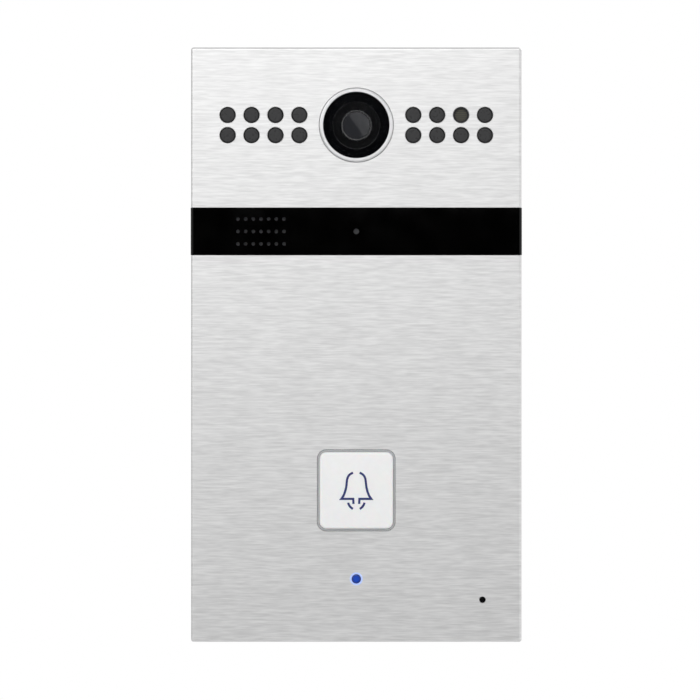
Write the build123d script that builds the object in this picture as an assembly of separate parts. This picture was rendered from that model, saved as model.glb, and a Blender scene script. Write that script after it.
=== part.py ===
import os
from math import radians, sqrt, tan

from build123d import *

# Door intercom panel for an outside wall. A visitor sees two brushed metal faceplates with a gloss
# black band between them, a camera between two blocks of infrared windows, a call button with a
# bell on it, a status light and a microphone hole. Behind them are a plastic front casing, the
# boards, a rear housing with a connector bay, and a steel bracket that goes on the wall.
#
# Millimetres. +Z is up, +X is to the visitor's right, and -Y points out of the wall at the visitor.
# The origin is the centre of the wall bracket's back face, which lies on the wall.
# "front" and "back" below are Y values: a front is always the smaller one.

# ---- Body: everything on the face is placed from these
WIDTH = 105.0
HEIGHT = 189.0
FRONT = -34.0              # outer face of the metal faceplates
SKIN = 1.5                 # thickness of the faceplates
RETURN = 11.0              # depth of the faceplates' folded sides
EDGE_RADIUS = 0.8          # bend radius along the faceplates' outer edges
PLAY = 0.1                 # gap between parts that are pushed together

# ---- Band across the face
BAND_Z = 36.0
BAND_HEIGHT = 15.0
BAND_PROUD = 0.15
BAND_SKIN = 1.6
GRILLE_X = -30.3
GRILLE_COLUMNS, GRILLE_ROWS = 7, 3
GRILLE_PITCH_X, GRILLE_PITCH_Z = 2.44, 3.95
GRILLE_HOLE = 0.6          # radius
SENSOR_RADIUS = 0.95

# ---- Camera, and the infrared windows in two blocks beside it
CAMERA_Z = 69.8
RING_RADIUS = 11.7         # outside of the polished trim ring
GLASS_RADIUS = 10.5
LENS_RADIUS = 4.95
WINDOW_RADIUS = 2.55       # holes in the faceplate
WINDOW_FIRST_X = 18.1
WINDOW_PITCH_X, WINDOW_PITCH_Z = 7.6, 6.42
WINDOW_COLUMNS, WINDOW_ROWS = 4, 2
LIGHT_SENSOR_COLUMN = 2    # counted from the camera, right block, upper row

# ---- Call button, status light and microphone
BUTTON_Z = -46.3
BUTTON_WIDTH, BUTTON_HEIGHT = 23.4, 24.5
BUTTON_CORNER = 2.2
BUTTON_PROUD = 0.9
BUTTON_TRAVEL = 0.8
BUTTON_GAP = 0.3
SURROUND = 0.4             # width of the grey liner round the button
STATUS_Z = -74.45
STATUS_RADIUS = 1.5
MIC_X, MIC_Z = 40.1, -81.1
MIC_HOLE = 1.0

# ---- Layers behind the faceplates
TAPE = 0.2
CASING_FRONT = FRONT + SKIN + TAPE
CASING_WALL = 2.1
CASING_INSIDE = CASING_FRONT + CASING_WALL
CASING_BACK = -21.0
CASING_WIDTH = WIDTH - 2 * SKIN - 2 * PLAY
CASING_HEIGHT = HEIGHT - 2 * SKIN - 2 * PLAY
BOARD = 1.6
BUTTON_BOARD_FRONT, BUTTON_BOARD = -25.4, 1.2
MAIN_BOARD_FRONT = -21.4
MAIN_BOARD_BACK = MAIN_BOARD_FRONT + BOARD
MAIN_BOARD_WIDTH, MAIN_BOARD_LOW, MAIN_BOARD_HIGH = 82.0, -88.0, 48.0
LED_BOARD_FRONT = -19.8
LED_BOARD_BACK = LED_BOARD_FRONT + BOARD
CAMERA_BOARD_FRONT = -13.0

# ---- Rear housing
HOUSING_WIDTH, HOUSING_HEIGHT = 104.0, 188.0
HOUSING_FRONT, HOUSING_RIM = -20.4, -0.6
HOUSING_WALL = 2.4
HOUSING_CORNER = 2.0
BACK_WALL_FRONT, BACK_WALL_BACK = -6.9, -4.7
BOSS_X, BOSS_Z = 45.5, 88.0
BOSS_RADIUS = 3.75
HEAD_SEAT = -9.0           # where the housing screws' heads land
BAY_WIDTH, BAY_HEIGHT, BAY_Z = 56.0, 38.0, 22.0
BAY_FLOOR_FRONT, BAY_FLOOR_BACK = -17.5, -16.0
BAY_WALL = 1.6

# ---- Wall bracket
BRACKET = 1.5
BRACKET_WIDTH, BRACKET_HEIGHT = 82.0, 164.0
WALL_HOLE = 2.25
WALL_HOLE_X, WALL_HOLE_Z = 30.0, 70.0
CABLE_WIDTH, CABLE_HEIGHT = 50.0, 32.0
HOOK_X, HOOK_LEVELS = 22.0, (50.0, -56.0)
HOOK_WIDTH, HOOK_REACH, HOOK_LIP = 9.0, 7.5, 6.0
LOCK_Y, LOCK_Z = -6.5, -84.0

# ---- Tamper plunger, which the wall holds in
TAMPER_X, TAMPER_Z = 30.0, -32.0
TAMPER_RADIUS = 2.0
TAMPER_TRAVEL = 2.5
COLLAR_RADIUS, COLLAR_FRONT, COLLAR_BACK = 3.2, -12.6, -11.1


def facing(y, x=0.0, z=0.0):
    """Drawing plane parallel to the face at depth y: its own X is +X, its own Y is +Z."""
    return Plane(origin=(x, y, z), x_dir=(1, 0, 0), z_dir=(0, -1, 0))


def slab(width, height, front, back, x=0.0, z=0.0, corner=0.0):
    """Flat block parallel to the face, with its four corners rounded if corner is given."""
    outline = RectangleRounded(width, height, corner) if corner else Rectangle(width, height)
    return extrude(facing(back, x, z) * outline, amount=back - front)


def block(low, high):
    """Box between two opposite corners, each (x, y, z)."""
    size = [b - a for a, b in zip(low, high)]
    middle = [(a + b) / 2 for a, b in zip(low, high)]
    return Pos(*middle) * Box(*size)


def disc(radius, front, back, x=0.0, z=0.0):
    return extrude(facing(back, x, z) * Circle(radius), amount=back - front)


def upright(radius, low, high, x, y):
    """Round bar along Z."""
    return Pos(x, y, (low + high) / 2) * Cylinder(radius, high - low)


def turned(outline, x=0.0, z=0.0):
    """Solid of revolution about a line along Y. outline is a closed run of (radius, y) points."""
    return Pos(x, 0, z) * revolve(make_face(Polyline(*outline, close=True)), axis=Axis.Y)


def both_sides(shape):
    """The shape and its mirror image in the panel's middle plane."""
    return shape + mirror(shape, about=Plane.YZ)


def joined(shapes):
    """Several separate or touching shapes as one."""
    shapes = list(shapes)
    return shapes[0] + shapes[1:] if len(shapes) > 1 else shapes[0]


def grid(columns, rows, pitch_x, pitch_z, x, z):
    """Centres of a grid of features about (x, z)."""
    for row in range(rows):
        for column in range(columns):
            yield (
                x + (column - (columns - 1) / 2) * pitch_x,
                z + (row - (rows - 1) / 2) * pitch_z,
            )


def window_centres(side):
    """Centres of the infrared windows left (-1) or right (+1) of the camera, without the light sensor's."""
    for row in range(WINDOW_ROWS):
        for column in range(WINDOW_COLUMNS):
            if (side, row, column) != (1, WINDOW_ROWS - 1, LIGHT_SENSOR_COLUMN):
                yield (
                    side * (WINDOW_FIRST_X + column * WINDOW_PITCH_X),
                    CAMERA_Z + (row - (WINDOW_ROWS - 1) / 2) * WINDOW_PITCH_Z,
                )


def light_sensor_centre():
    return (
        WINDOW_FIRST_X + LIGHT_SENSOR_COLUMN * WINDOW_PITCH_X,
        CAMERA_Z + (WINDOW_ROWS - 1) / 2 * WINDOW_PITCH_Z,
    )


def all_window_centres():
    return [*window_centres(-1), *window_centres(1), light_sensor_centre()]


def boss_centres():
    """The six screws that hold the rear housing to the front casing."""
    return [(x, z) for x in (-BOSS_X, BOSS_X) for z in (-BOSS_Z, 0, BOSS_Z)]


def screw(head_radius, head_height, shank_radius, seat, tip, x, z, socket):
    """Screw along Y that goes in from the back: its head is behind seat and its tip is at the front."""
    made = disc(head_radius, seat, seat + head_height, x, z)
    made = fillet(made.edges().group_by(Axis.Y)[-1], head_height * 0.35)
    made += disc(shank_radius, tip + shank_radius * 0.4, seat, x, z)
    made += turned([(0, tip), (shank_radius * 0.6, tip), (shank_radius, tip + shank_radius * 0.4),
                    (0, tip + shank_radius * 0.4)], x, z)
    hexagon = facing(seat + head_height, x, z) * RegularPolygon(socket, 6)
    return made - extrude(hexagon, amount=head_height * 0.6)


# ---------------------------------------------------------------- face

def faceplate(low, high, open_end):
    """Folded metal cover between two heights. open_end is the height of the side against the band."""
    middle = (low + high) / 2
    plate = slab(WIDTH, high - low, FRONT, FRONT + RETURN, z=middle)
    folded = -1 if open_end == low else 0
    corners = plate.edges().filter_by(Axis.Y).group_by(Axis.Z)[folded]
    plate = fillet(corners, EDGE_RADIUS)
    rim = plate.faces().sort_by(Axis.Y)[0].edges()
    plate = fillet([e for e in rim if abs(e.center().Z - open_end) > 0.01], EDGE_RADIUS)
    inner_low = low if folded == -1 else low + SKIN
    inner_high = high - SKIN if folded == -1 else high
    half = WIDTH / 2 - SKIN
    return plate - block((-half, FRONT + SKIN, inner_low), (half, 0, inner_high))


def eased(plate, amount=0.15):
    """Breaks the sharp front edge of each opening in a faceplate, but not the plate's own rim."""
    face = plate.faces().filter_by(Axis.Y).sort_by(Axis.Y)[0]
    return chamfer([e for wire in face.inner_wires() for e in wire.edges()], amount)


def upper_faceplate():
    low = BAND_Z + BAND_HEIGHT / 2 + PLAY
    plate = faceplate(low, HEIGHT / 2, low)
    plate -= disc(RING_RADIUS + PLAY, FRONT - 1, FRONT + SKIN + 1, z=CAMERA_Z)
    for x, z in all_window_centres():
        plate -= disc(WINDOW_RADIUS, FRONT - 1, FRONT + SKIN + 1, x, z)
    return eased(plate)


def lower_faceplate():
    high = BAND_Z - BAND_HEIGHT / 2 - PLAY
    plate = faceplate(-HEIGHT / 2, high, high)
    room = 2 * (BUTTON_GAP + SURROUND)
    plate -= slab(BUTTON_WIDTH + room, BUTTON_HEIGHT + room, FRONT - 1, FRONT + SKIN + 1,
                  z=BUTTON_Z, corner=BUTTON_CORNER + room / 2)
    plate -= disc(STATUS_RADIUS + PLAY, FRONT - 1, FRONT + SKIN + 1, z=STATUS_Z)
    plate -= disc(MIC_HOLE, FRONT - 1, FRONT + SKIN + 1, MIC_X, MIC_Z)
    return eased(plate)


def front_band():
    """Gloss strip across the face and round both sides, with the speaker holes and a sensor hole."""
    half = WIDTH / 2 + BAND_PROUD
    front = FRONT - BAND_PROUD
    back = FRONT + RETURN
    band = slab(2 * half, BAND_HEIGHT, front, back, z=BAND_Z)
    upright_edges = band.edges().filter_by(Axis.Z).group_by(Axis.Y)[0]
    band = fillet(upright_edges, EDGE_RADIUS)
    inner = half - BAND_SKIN
    band -= block((-inner, front + BAND_SKIN, -HEIGHT), (inner, 0, HEIGHT))
    for x, z in grid(GRILLE_COLUMNS, GRILLE_ROWS, GRILLE_PITCH_X, GRILLE_PITCH_Z, GRILLE_X, BAND_Z):
        band -= disc(GRILLE_HOLE, front - 1, front + BAND_SKIN + 1, x, z)
    return band - disc(SENSOR_RADIUS, front - 1, front + BAND_SKIN + 1, z=BAND_Z)


def adhesive_strips():
    """Double-sided tape that holds the faceplates and the band to the casing."""
    strip_height = 6.0
    front, back = CASING_FRONT - TAPE, CASING_FRONT
    full_width = CASING_WIDTH - 6
    strips = [slab(full_width, strip_height, front, back, z=z) for z in (88.0, 50.0, 22.0, -12.0, -88.0)]
    # the band's back stands a little closer to the casing than the faceplates' does
    band_back = FRONT - BAND_PROUD + BAND_SKIN
    strips.append(slab(26.0, strip_height, band_back, CASING_FRONT, 30.0, BAND_Z))
    return joined(strips)


# ---------------------------------------------------------------- front casing

WELL_RADIUS = 13.5         # collar behind the camera opening
WELL_BACK = -27.0
GLASS_SEAT = -30.8         # ledge that the trim ring and the glass's gasket stand on
CAMERA_BORE = 9.5
CAMERA_POST = (12.4, 8.6)  # posts for the lens holder, on one diagonal
CAMERA_POST_BACK = -18.0
LED_POST_X, LED_POST_RISE = 30.0, 9.8
MAIN_POSTS = ((37.0, 15.0), (37.0, -60.0))
BUTTON_POSTS = ((18.5, -26.0), (18.5, -77.2))
SPEAKER_RADIUS = 14.0
SPEAKER_EAR = 16.3 / sqrt(2)    # offset of the speaker's two screws from its centre, along X and along Z
SOUND_WIDTH, SOUND_HEIGHT = 17.0, 10.0
PILOT = 1.05               # radius of the small screws' holes


def camera_post_centres():
    return [(sign * CAMERA_POST[0], CAMERA_Z + sign * CAMERA_POST[1]) for sign in (-1, 1)]


def led_post_centres():
    return [(x, CAMERA_Z + rise)
            for x in (-LED_POST_X, LED_POST_X) for rise in (-LED_POST_RISE, LED_POST_RISE)]


def speaker_ear_centres():
    return [(GRILLE_X + sign * SPEAKER_EAR, BAND_Z - sign * SPEAKER_EAR) for sign in (-1, 1)]


def post(radius, back, x, z):
    """Round post on the casing's inside, with a blind screw hole in its end."""
    return disc(radius, CASING_INSIDE, back, x, z) - disc(PILOT, back - 6, back, x, z)


def front_casing():
    """Plastic tub that everything on the face is fixed to, open to the back, with a flange at its rim."""
    casing = slab(CASING_WIDTH, CASING_HEIGHT, CASING_FRONT, CASING_BACK, corner=1.0)
    casing += slab(WIDTH, HEIGHT, FRONT + RETURN + PLAY, CASING_BACK, corner=EDGE_RADIUS)
    hollow_width = CASING_WIDTH - 2 * CASING_WALL
    hollow_height = CASING_HEIGHT - 2 * CASING_WALL
    casing -= slab(hollow_width, hollow_height, CASING_INSIDE, CASING_BACK, corner=1.5)
    # bosses and posts
    inside = slab(hollow_width, hollow_height, CASING_INSIDE, 0)
    casing += joined(disc(BOSS_RADIUS, CASING_INSIDE, CASING_BACK, x, z) for x, z in boss_centres()) & inside
    casing += disc(WELL_RADIUS, CASING_INSIDE, WELL_BACK, z=CAMERA_Z)
    for x, z in camera_post_centres():
        casing += disc(1.9, CASING_INSIDE, CAMERA_POST_BACK, x, z)
    for x, z in led_post_centres():
        casing += post(2.2, LED_BOARD_FRONT, x, z)
    for x, z in MAIN_POSTS:
        casing += both_sides(post(2.8, MAIN_BOARD_FRONT, x, z))
    for x, z in BUTTON_POSTS:
        casing += both_sides(post(2.2, BUTTON_BOARD_FRONT, x, z))
    for x, z in speaker_ear_centres():
        casing += post(2.0, -28.0, x, z)
    # openings
    casing -= disc(RING_RADIUS + PLAY, CASING_FRONT - 1, GLASS_SEAT, z=CAMERA_Z)
    casing -= disc(CAMERA_BORE, GLASS_SEAT - 1, WELL_BACK + 1, z=CAMERA_Z)
    for x, z in camera_post_centres():
        casing -= disc(PILOT, CAMERA_POST_BACK - 7, CAMERA_POST_BACK, x, z)
    for x, z in all_window_centres():
        casing -= disc(WINDOW_RADIUS + 0.05, CASING_FRONT - 1, CASING_INSIDE + 1, x, z)
    casing -= slab(SOUND_WIDTH, SOUND_HEIGHT, CASING_FRONT - 1, CASING_INSIDE + 1, GRILLE_X, BAND_Z, 1.0)
    casing -= slab(SOUND_WIDTH + 3, SOUND_HEIGHT + 3, CASING_FRONT - 1, CASING_FRONT + 0.2,
                   GRILLE_X, BAND_Z, 1.0)
    casing -= disc(SENSOR_RADIUS + 0.05, CASING_FRONT - 1, CASING_INSIDE + 1, z=BAND_Z)
    casing -= slab(BUTTON_WIDTH + 2 * BUTTON_GAP, BUTTON_HEIGHT + 2 * BUTTON_GAP, CASING_FRONT - 1,
                   CASING_INSIDE + 1, z=BUTTON_Z, corner=BUTTON_CORNER + BUTTON_GAP)
    casing -= disc(STATUS_RADIUS + PLAY, CASING_FRONT - 1, CASING_INSIDE + 1, z=STATUS_Z)
    casing -= disc(MIC_HOLE + 0.2, CASING_FRONT - 1, CASING_INSIDE + 1, MIC_X, MIC_Z)
    for x, z in boss_centres():
        casing -= disc(1.55, -28.0, CASING_BACK, x, z)
    return casing


# ---------------------------------------------------------------- camera

BARREL_FRONT, HEAD_BACK, BARREL_BACK = -31.0, -25.0, -17.6
BARREL_HEAD, BARREL_THREAD = 8.2, 6.0
HOLDER_WIDTH, HOLDER_HEIGHT = 29.0, 21.0
SHUTTLE_FRONT, SHUTTLE_BACK = -16.6, -15.8
FILTER_PITCH = 6.5
FILTER_RADIUS = 2.75
SLOT_WIDTH, SLOT_HEIGHT = 22.4, 12.6


def camera_trim_ring():
    """Polished ring with a rounded front that falls away outwards to the faceplate."""
    inner = GLASS_RADIUS + 0.05
    crest = FRONT - 0.85
    outline = Polyline((inner, crest + 0.25), (inner, GLASS_SEAT), (RING_RADIUS, GLASS_SEAT),
                       (RING_RADIUS, FRONT))
    dome = ThreePointArc((RING_RADIUS, FRONT), (RING_RADIUS - 0.3, FRONT - 0.62), (inner + 0.3, crest))
    lip = Line((inner + 0.3, crest), (inner, crest + 0.25))
    return Pos(0, 0, CAMERA_Z) * revolve(make_face(outline + dome + lip), axis=Axis.Y)


def camera_cover_glass():
    glass = disc(GLASS_RADIUS, FRONT - 0.35, FRONT + 1.65, z=CAMERA_Z)
    return chamfer(glass.edges().group_by(Axis.Y)[0], 0.25)


def camera_gasket():
    """Black rubber ring that the cover glass is pressed against."""
    front = FRONT + 1.65
    return disc(GLASS_RADIUS, front, GLASS_SEAT, z=CAMERA_Z) - disc(8.6, front - 1, 0, z=CAMERA_Z)


def lens_barrel():
    """Lens barrel: a wide head with stepped light baffles, and a plain stretch for its fine thread."""
    steps, step_in, step_down = 5, 0.48, 0.24
    outline = [(BARREL_HEAD, BARREL_FRONT), (BARREL_HEAD, HEAD_BACK), (BARREL_THREAD, HEAD_BACK),
               (BARREL_THREAD, BARREL_BACK), (3.25, BARREL_BACK), (3.25, BARREL_BACK - 2.2),
               (2.8, BARREL_BACK - 2.2), (2.8, -27.0), (4.2, -27.4), (4.2, -27.8), (5.0, -27.8)]
    radius, y = 5.0, BARREL_FRONT + steps * step_down
    for _ in range(steps):
        outline += [(radius, y), (radius + step_in, y)]
        radius, y = radius + step_in, y - step_down
    outline.append((radius, BARREL_FRONT))
    return turned(outline, z=CAMERA_Z)


def lens_elements():
    """Domed front lens, and the small lens at the barrel's rear end."""
    edge, apex, back = -29.8, -30.9, -27.8
    rise = edge - apex
    curve = (LENS_RADIUS ** 2 + rise ** 2) / (2 * rise)
    front = disc(LENS_RADIUS, apex, back, z=CAMERA_Z) & Pos(0, apex + curve, CAMERA_Z) * Sphere(curve)
    return joined([front, disc(3.2, BARREL_BACK - 2.1, BARREL_BACK - 0.3, z=CAMERA_Z)])


def lens_holder():
    """Holder that the barrel screws into, with a slot behind the lens for the filter shuttle."""
    holder = disc(7.7, -24.4, CAMERA_POST_BACK, z=CAMERA_Z)
    holder += slab(HOLDER_WIDTH, HOLDER_HEIGHT, CAMERA_POST_BACK, CAMERA_BOARD_FRONT, z=CAMERA_Z, corner=1.5)
    holder -= disc(BARREL_THREAD + 0.05, -30, SHUTTLE_FRONT, z=CAMERA_Z)
    holder -= slab(SLOT_WIDTH, SLOT_HEIGHT, SHUTTLE_FRONT - 0.2, CAMERA_BOARD_FRONT, z=CAMERA_Z)
    # rails that keep the shuttle in its slot
    for rise in (-5.15, 5.15):
        holder += slab(SLOT_WIDTH, 2.3, SHUTTLE_BACK + PLAY, SHUTTLE_BACK + 0.7, z=CAMERA_Z + rise)
    for x, z in camera_post_centres():
        holder -= disc(1.15, -20, 0, x, z)
    return holder


def filter_shuttle():
    """Sliding frame with two windows, one for the infrared-cut filter and one for the clear one."""
    frame = slab(14.5, 9.0, SHUTTLE_FRONT, SHUTTLE_BACK, FILTER_PITCH / 2, CAMERA_Z, 1.0)
    for x in (0, FILTER_PITCH):
        frame -= disc(FILTER_RADIUS + 0.05, -20, 0, x, CAMERA_Z)
    return frame


def shuttle_filters():
    """Infrared-cut filter, on the lens's axis at rest, and the clear one beside it."""
    return joined(disc(FILTER_RADIUS, SHUTTLE_FRONT + 0.1, SHUTTLE_BACK - 0.1, x, CAMERA_Z)
                  for x in (0, FILTER_PITCH))


def image_sensor():
    return slab(8.6, 7.4, CAMERA_BOARD_FRONT - 1.1, CAMERA_BOARD_FRONT, z=CAMERA_Z)


def camera_board():
    board = slab(31.0, 25.0, CAMERA_BOARD_FRONT, CAMERA_BOARD_FRONT + BOARD, z=CAMERA_Z, corner=1.5)
    for x, z in camera_post_centres():
        board -= disc(1.15, -20, 0, x, z)
    return board


def camera_screws():
    seat = CAMERA_BOARD_FRONT + BOARD
    return joined(screw(1.9, 1.4, 1.0, seat, CAMERA_POST_BACK - 5, x, z, 0.75)
                  for x, z in camera_post_centres())


# ---------------------------------------------------------------- infrared light and light sensor

STRIP_WIDTH, STRIP_HEIGHT, STRIP = 29.4, 14.2, 1.4
WINDOW_SINK, WINDOW_EDGE = 0.5, 0.6    # depth of each window's face in its hole, and its edge's radius


def window_strip(side):
    """Smoked strip behind the casing's wall, with a round boss that fills each hole of its block."""
    front = CASING_INSIDE
    middle = side * (WINDOW_FIRST_X + (WINDOW_COLUMNS - 1) / 2 * WINDOW_PITCH_X)
    strip = slab(STRIP_WIDTH, STRIP_HEIGHT, front, front + STRIP, middle, CAMERA_Z, 1.5)
    for x, z in window_centres(side):
        boss = disc(WINDOW_RADIUS - 0.05, FRONT + WINDOW_SINK, front, x, z)
        strip += fillet(boss.edges().group_by(Axis.Y)[0], WINDOW_EDGE)
    if side > 0:
        strip -= disc(WINDOW_RADIUS, -40, 0, *light_sensor_centre())
    return strip


def infrared_windows():
    return joined(window_strip(side) for side in (-1, 1))


def infrared_led(x, z):
    """5 mm lamp: domed body, collar, and two legs that go through the board."""
    tip, collar, base = -28.4, -20.9, LED_BOARD_FRONT
    radius = 2.45
    body = disc(radius, tip + radius, collar, x, z)
    body += Pos(x, tip + radius, z) * Sphere(radius)
    body += disc(2.85, collar, base, x, z)
    for leg in (-1.27, 1.27):
        body += slab(0.5, 0.5, base, LED_BOARD_BACK + 1.2, x + leg, z)
    return body


def infrared_leds():
    return joined(infrared_led(x, z) for x, z in [*window_centres(-1), *window_centres(1)])


def light_sensor():
    """Photoresistor in the one hole with no window, on long legs."""
    x, z = light_sensor_centre()
    cell = disc(2.4, FRONT + 1.6, FRONT + 3.6, x, z)
    for leg in (-1.3, 1.3):
        cell += disc(0.25, FRONT + 3.6, LED_BOARD_BACK + 1.2, x + leg, z)
    return cell


def leg_holes(board):
    for x, z in [*window_centres(-1), *window_centres(1)]:
        for leg in (-1.27, 1.27):
            board -= disc(0.42, LED_BOARD_FRONT - 1, LED_BOARD_BACK + 1, x + leg, z)
    x, z = light_sensor_centre()
    for leg in (-1.3, 1.3):
        board -= disc(0.42, LED_BOARD_FRONT - 1, LED_BOARD_BACK + 1, x + leg, z)
    return board


def led_board():
    """Board behind the camera and its windows, with an opening that the lens holder stands in."""
    board = slab(95.0, 24.0, LED_BOARD_FRONT, LED_BOARD_BACK, z=CAMERA_Z, corner=1.5)
    board += slab(40.0, 37.0, LED_BOARD_FRONT, LED_BOARD_BACK, z=CAMERA_Z, corner=1.5)
    board -= slab(30.2, 30.2, LED_BOARD_FRONT - 1, LED_BOARD_BACK + 1, z=CAMERA_Z, corner=3)
    for x, z in led_post_centres():
        board -= disc(1.2, LED_BOARD_FRONT - 1, LED_BOARD_BACK + 1, x, z)
    return leg_holes(board)


# ---------------------------------------------------------------- speaker

SPEAKER_FRONT = -29.4


def speaker_mesh():
    """Dust and water cloth behind the grille holes."""
    return slab(SOUND_WIDTH + 2.6, SOUND_HEIGHT + 2.6, CASING_FRONT - 0.1, CASING_FRONT + 0.2,
                GRILLE_X, BAND_Z, 0.8)


def speaker_gasket():
    ring = disc(SPEAKER_RADIUS - 0.2, CASING_INSIDE, SPEAKER_FRONT, GRILLE_X, BAND_Z)
    return ring - disc(11.2, -35, 0, GRILLE_X, BAND_Z)


def speaker_basket():
    """Pressed frame: a front ring with two screw ears, and a stepped cup back to the magnet."""
    outline = [(12.4, SPEAKER_FRONT), (SPEAKER_RADIUS, SPEAKER_FRONT), (SPEAKER_RADIUS, -28.4),
               (13.0, -28.4), (9.0, -25.6), (6.0, -25.6), (6.0, -26.3), (8.6, -26.3), (12.4, -28.8)]
    basket = turned(outline, GRILLE_X, BAND_Z)
    neck_offset = (SPEAKER_EAR + 9.4) / 2
    for (x, z), sign in zip(speaker_ear_centres(), (-1, 1)):
        neck = Pos(GRILLE_X + sign * neck_offset, -27.65, BAND_Z - sign * neck_offset)
        ear = disc(2.6, -28.0, -27.3, x, z) + neck * Rot(0, 45, 0) * Box(6.0, 0.7, 4.0)
        basket += ear - disc(1.15, -30, 0, x, z)
    return basket


def speaker_cone():
    outline = [(0, -28.9), (3.6, -27.7), (11.0, -29.1), (12.3, -29.1), (12.3, -28.9), (11.0, -28.85),
               (3.6, -27.45), (0, -28.65)]
    return turned(outline, GRILLE_X, BAND_Z)


def speaker_magnet():
    magnet = disc(7.8, -25.6, -22.2, GRILLE_X, BAND_Z)
    return fillet(magnet.edges().group_by(Axis.Y)[-1], 0.4)


# ---------------------------------------------------------------- sensor, status light, microphone

def sensor_lens():
    """Dark light pipe in the middle of the band, down to the sensor on the main board."""
    pipe = disc(SENSOR_RADIUS - 0.05, FRONT - BAND_PROUD + 0.25, CASING_INSIDE, z=BAND_Z)
    pipe += disc(2.2, CASING_INSIDE, CASING_INSIDE + 1.2, z=BAND_Z)
    return pipe + disc(1.4, CASING_INSIDE + 1.2, MAIN_BOARD_FRONT - 1.6, z=BAND_Z)


def proximity_sensor():
    return slab(3.6, 3.0, MAIN_BOARD_FRONT - 1.2, MAIN_BOARD_FRONT, z=BAND_Z)


def status_light_pipe():
    pipe = disc(STATUS_RADIUS, FRONT - 0.2, CASING_INSIDE, z=STATUS_Z)
    pipe = fillet(pipe.edges().group_by(Axis.Y)[0], 0.5)
    pipe += disc(2.4, CASING_INSIDE, CASING_INSIDE + 1.0, z=STATUS_Z)
    return pipe + disc(STATUS_RADIUS, CASING_INSIDE + 1.0, BUTTON_BOARD_FRONT - 1.1, z=STATUS_Z)


def microphone_boot():
    """Rubber cup that seals the microphone to the casing, with a sound hole in its front."""
    back = CASING_INSIDE + 5.2
    boot = disc(4.4, CASING_INSIDE, back, MIC_X, MIC_Z)
    boot = fillet(boot.edges().group_by(Axis.Y)[-1], 0.5)
    boot -= disc(3.05, CASING_INSIDE + 1.2, back, MIC_X, MIC_Z)
    return boot - disc(0.9, CASING_INSIDE - 1, back, MIC_X, MIC_Z)


def microphone():
    return disc(3.0, CASING_INSIDE + 1.3, CASING_INSIDE + 4.7, MIC_X, MIC_Z)


# ---------------------------------------------------------------- call button

BUTTON_FRONT = FRONT - BUTTON_PROUD
FLANGE_FRONT, FLANGE = CASING_INSIDE + 0.1, 1.0
CAP_WALL, CAP_FACE = 1.6, 1.8
PAD_WIDTH, PAD_HEIGHT, PAD = 33.0, 35.0, 1.2
DOME_TOP = FLANGE_FRONT + FLANGE
LAMP_X, LAMP_Z = 8.3, 8.8


def call_button():
    """Cap: a hollow key with softened edges, a flange that keeps it in, and a push post inside."""
    cap = slab(BUTTON_WIDTH, BUTTON_HEIGHT, BUTTON_FRONT, FLANGE_FRONT, z=BUTTON_Z, corner=BUTTON_CORNER)
    cap = fillet(cap.faces().sort_by(Axis.Y)[0].edges(), 0.7)
    cap += slab(27.0, 28.0, FLANGE_FRONT, FLANGE_FRONT + FLANGE, z=BUTTON_Z, corner=BUTTON_CORNER + 1)
    cap -= slab(BUTTON_WIDTH - 2 * CAP_WALL, BUTTON_HEIGHT - 2 * CAP_WALL, BUTTON_FRONT + CAP_FACE,
                FLANGE_FRONT + FLANGE, z=BUTTON_Z, corner=1.0)
    return cap + disc(3.5, BUTTON_FRONT + CAP_FACE, DOME_TOP, z=BUTTON_Z)


def button_surround():
    """Grey liner in the faceplate's opening, a little below its surface."""
    gap = 2 * BUTTON_GAP
    width, height = BUTTON_WIDTH + gap, BUTTON_HEIGHT + gap
    edge = 2 * (SURROUND - 0.05)
    ring = slab(width + edge, height + edge, FRONT + 0.45, CASING_FRONT, z=BUTTON_Z,
                corner=BUTTON_CORNER + (gap + edge) / 2)
    return ring - slab(width, height, FRONT - 1, 0, z=BUTTON_Z, corner=BUTTON_CORNER + gap / 2)


def bell_icon():
    """Bell drawn with one even stroke: two halves with a gap at the crown, and a clapper arc below each."""
    stroke, ink = 0.7, 0.06
    shoulder = Spline((1.05, 5.6), (2.8, 3.9), (3.1, 1.9), (3.6, -0.5), (4.75, -2.7))
    rim = Line((4.75, -2.7), (0.98, -2.7))
    lip = Line((0.98, -2.7), (0.9, -4.3))
    clapper = ThreePointArc((2.58, -3.9), (2.1, -5.0), (1.1, -5.85))
    half = trace(shoulder + rim + lip, line_width=stroke) + trace(clapper, line_width=stroke)
    plane = facing(BUTTON_FRONT, z=BUTTON_Z)
    right = extrude(plane * half, amount=ink)
    return both_sides(right)


def button_diffuser():
    """Translucent plate inside the cap that spreads the lamps' light."""
    front = BUTTON_FRONT + CAP_FACE
    plate = slab(BUTTON_WIDTH - 2 * CAP_WALL - 0.4, BUTTON_HEIGHT - 2 * CAP_WALL - 0.4, front, front + 0.9,
                 z=BUTTON_Z, corner=0.8)
    return plate - disc(3.6, -40, 0, z=BUTTON_Z)


def button_seal():
    """Silicone pad that keeps water out and springs the button back: a flat flange and one thin dome."""
    base_front = BUTTON_BOARD_FRONT - PAD
    flange = slab(PAD_WIDTH, PAD_HEIGHT, base_front, BUTTON_BOARD_FRONT, z=BUTTON_Z, corner=2)
    flange -= disc(8.0, -40, 0, z=BUTTON_Z)
    for x in (-LAMP_X, LAMP_X):
        for z in (-LAMP_Z, LAMP_Z):
            flange -= disc(1.9, -40, 0, x, BUTTON_Z + z)
    dome = turned([(0, DOME_TOP), (5.0, DOME_TOP), (8.2, base_front), (8.2, BUTTON_BOARD_FRONT),
                   (7.5, BUTTON_BOARD_FRONT), (7.5, base_front + 0.2), (4.5, DOME_TOP + 0.7),
                   (2.6, DOME_TOP + 0.7), (2.6, BUTTON_BOARD_FRONT - 1.4), (0, BUTTON_BOARD_FRONT - 1.4)],
                  z=BUTTON_Z)
    return flange + dome


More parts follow.
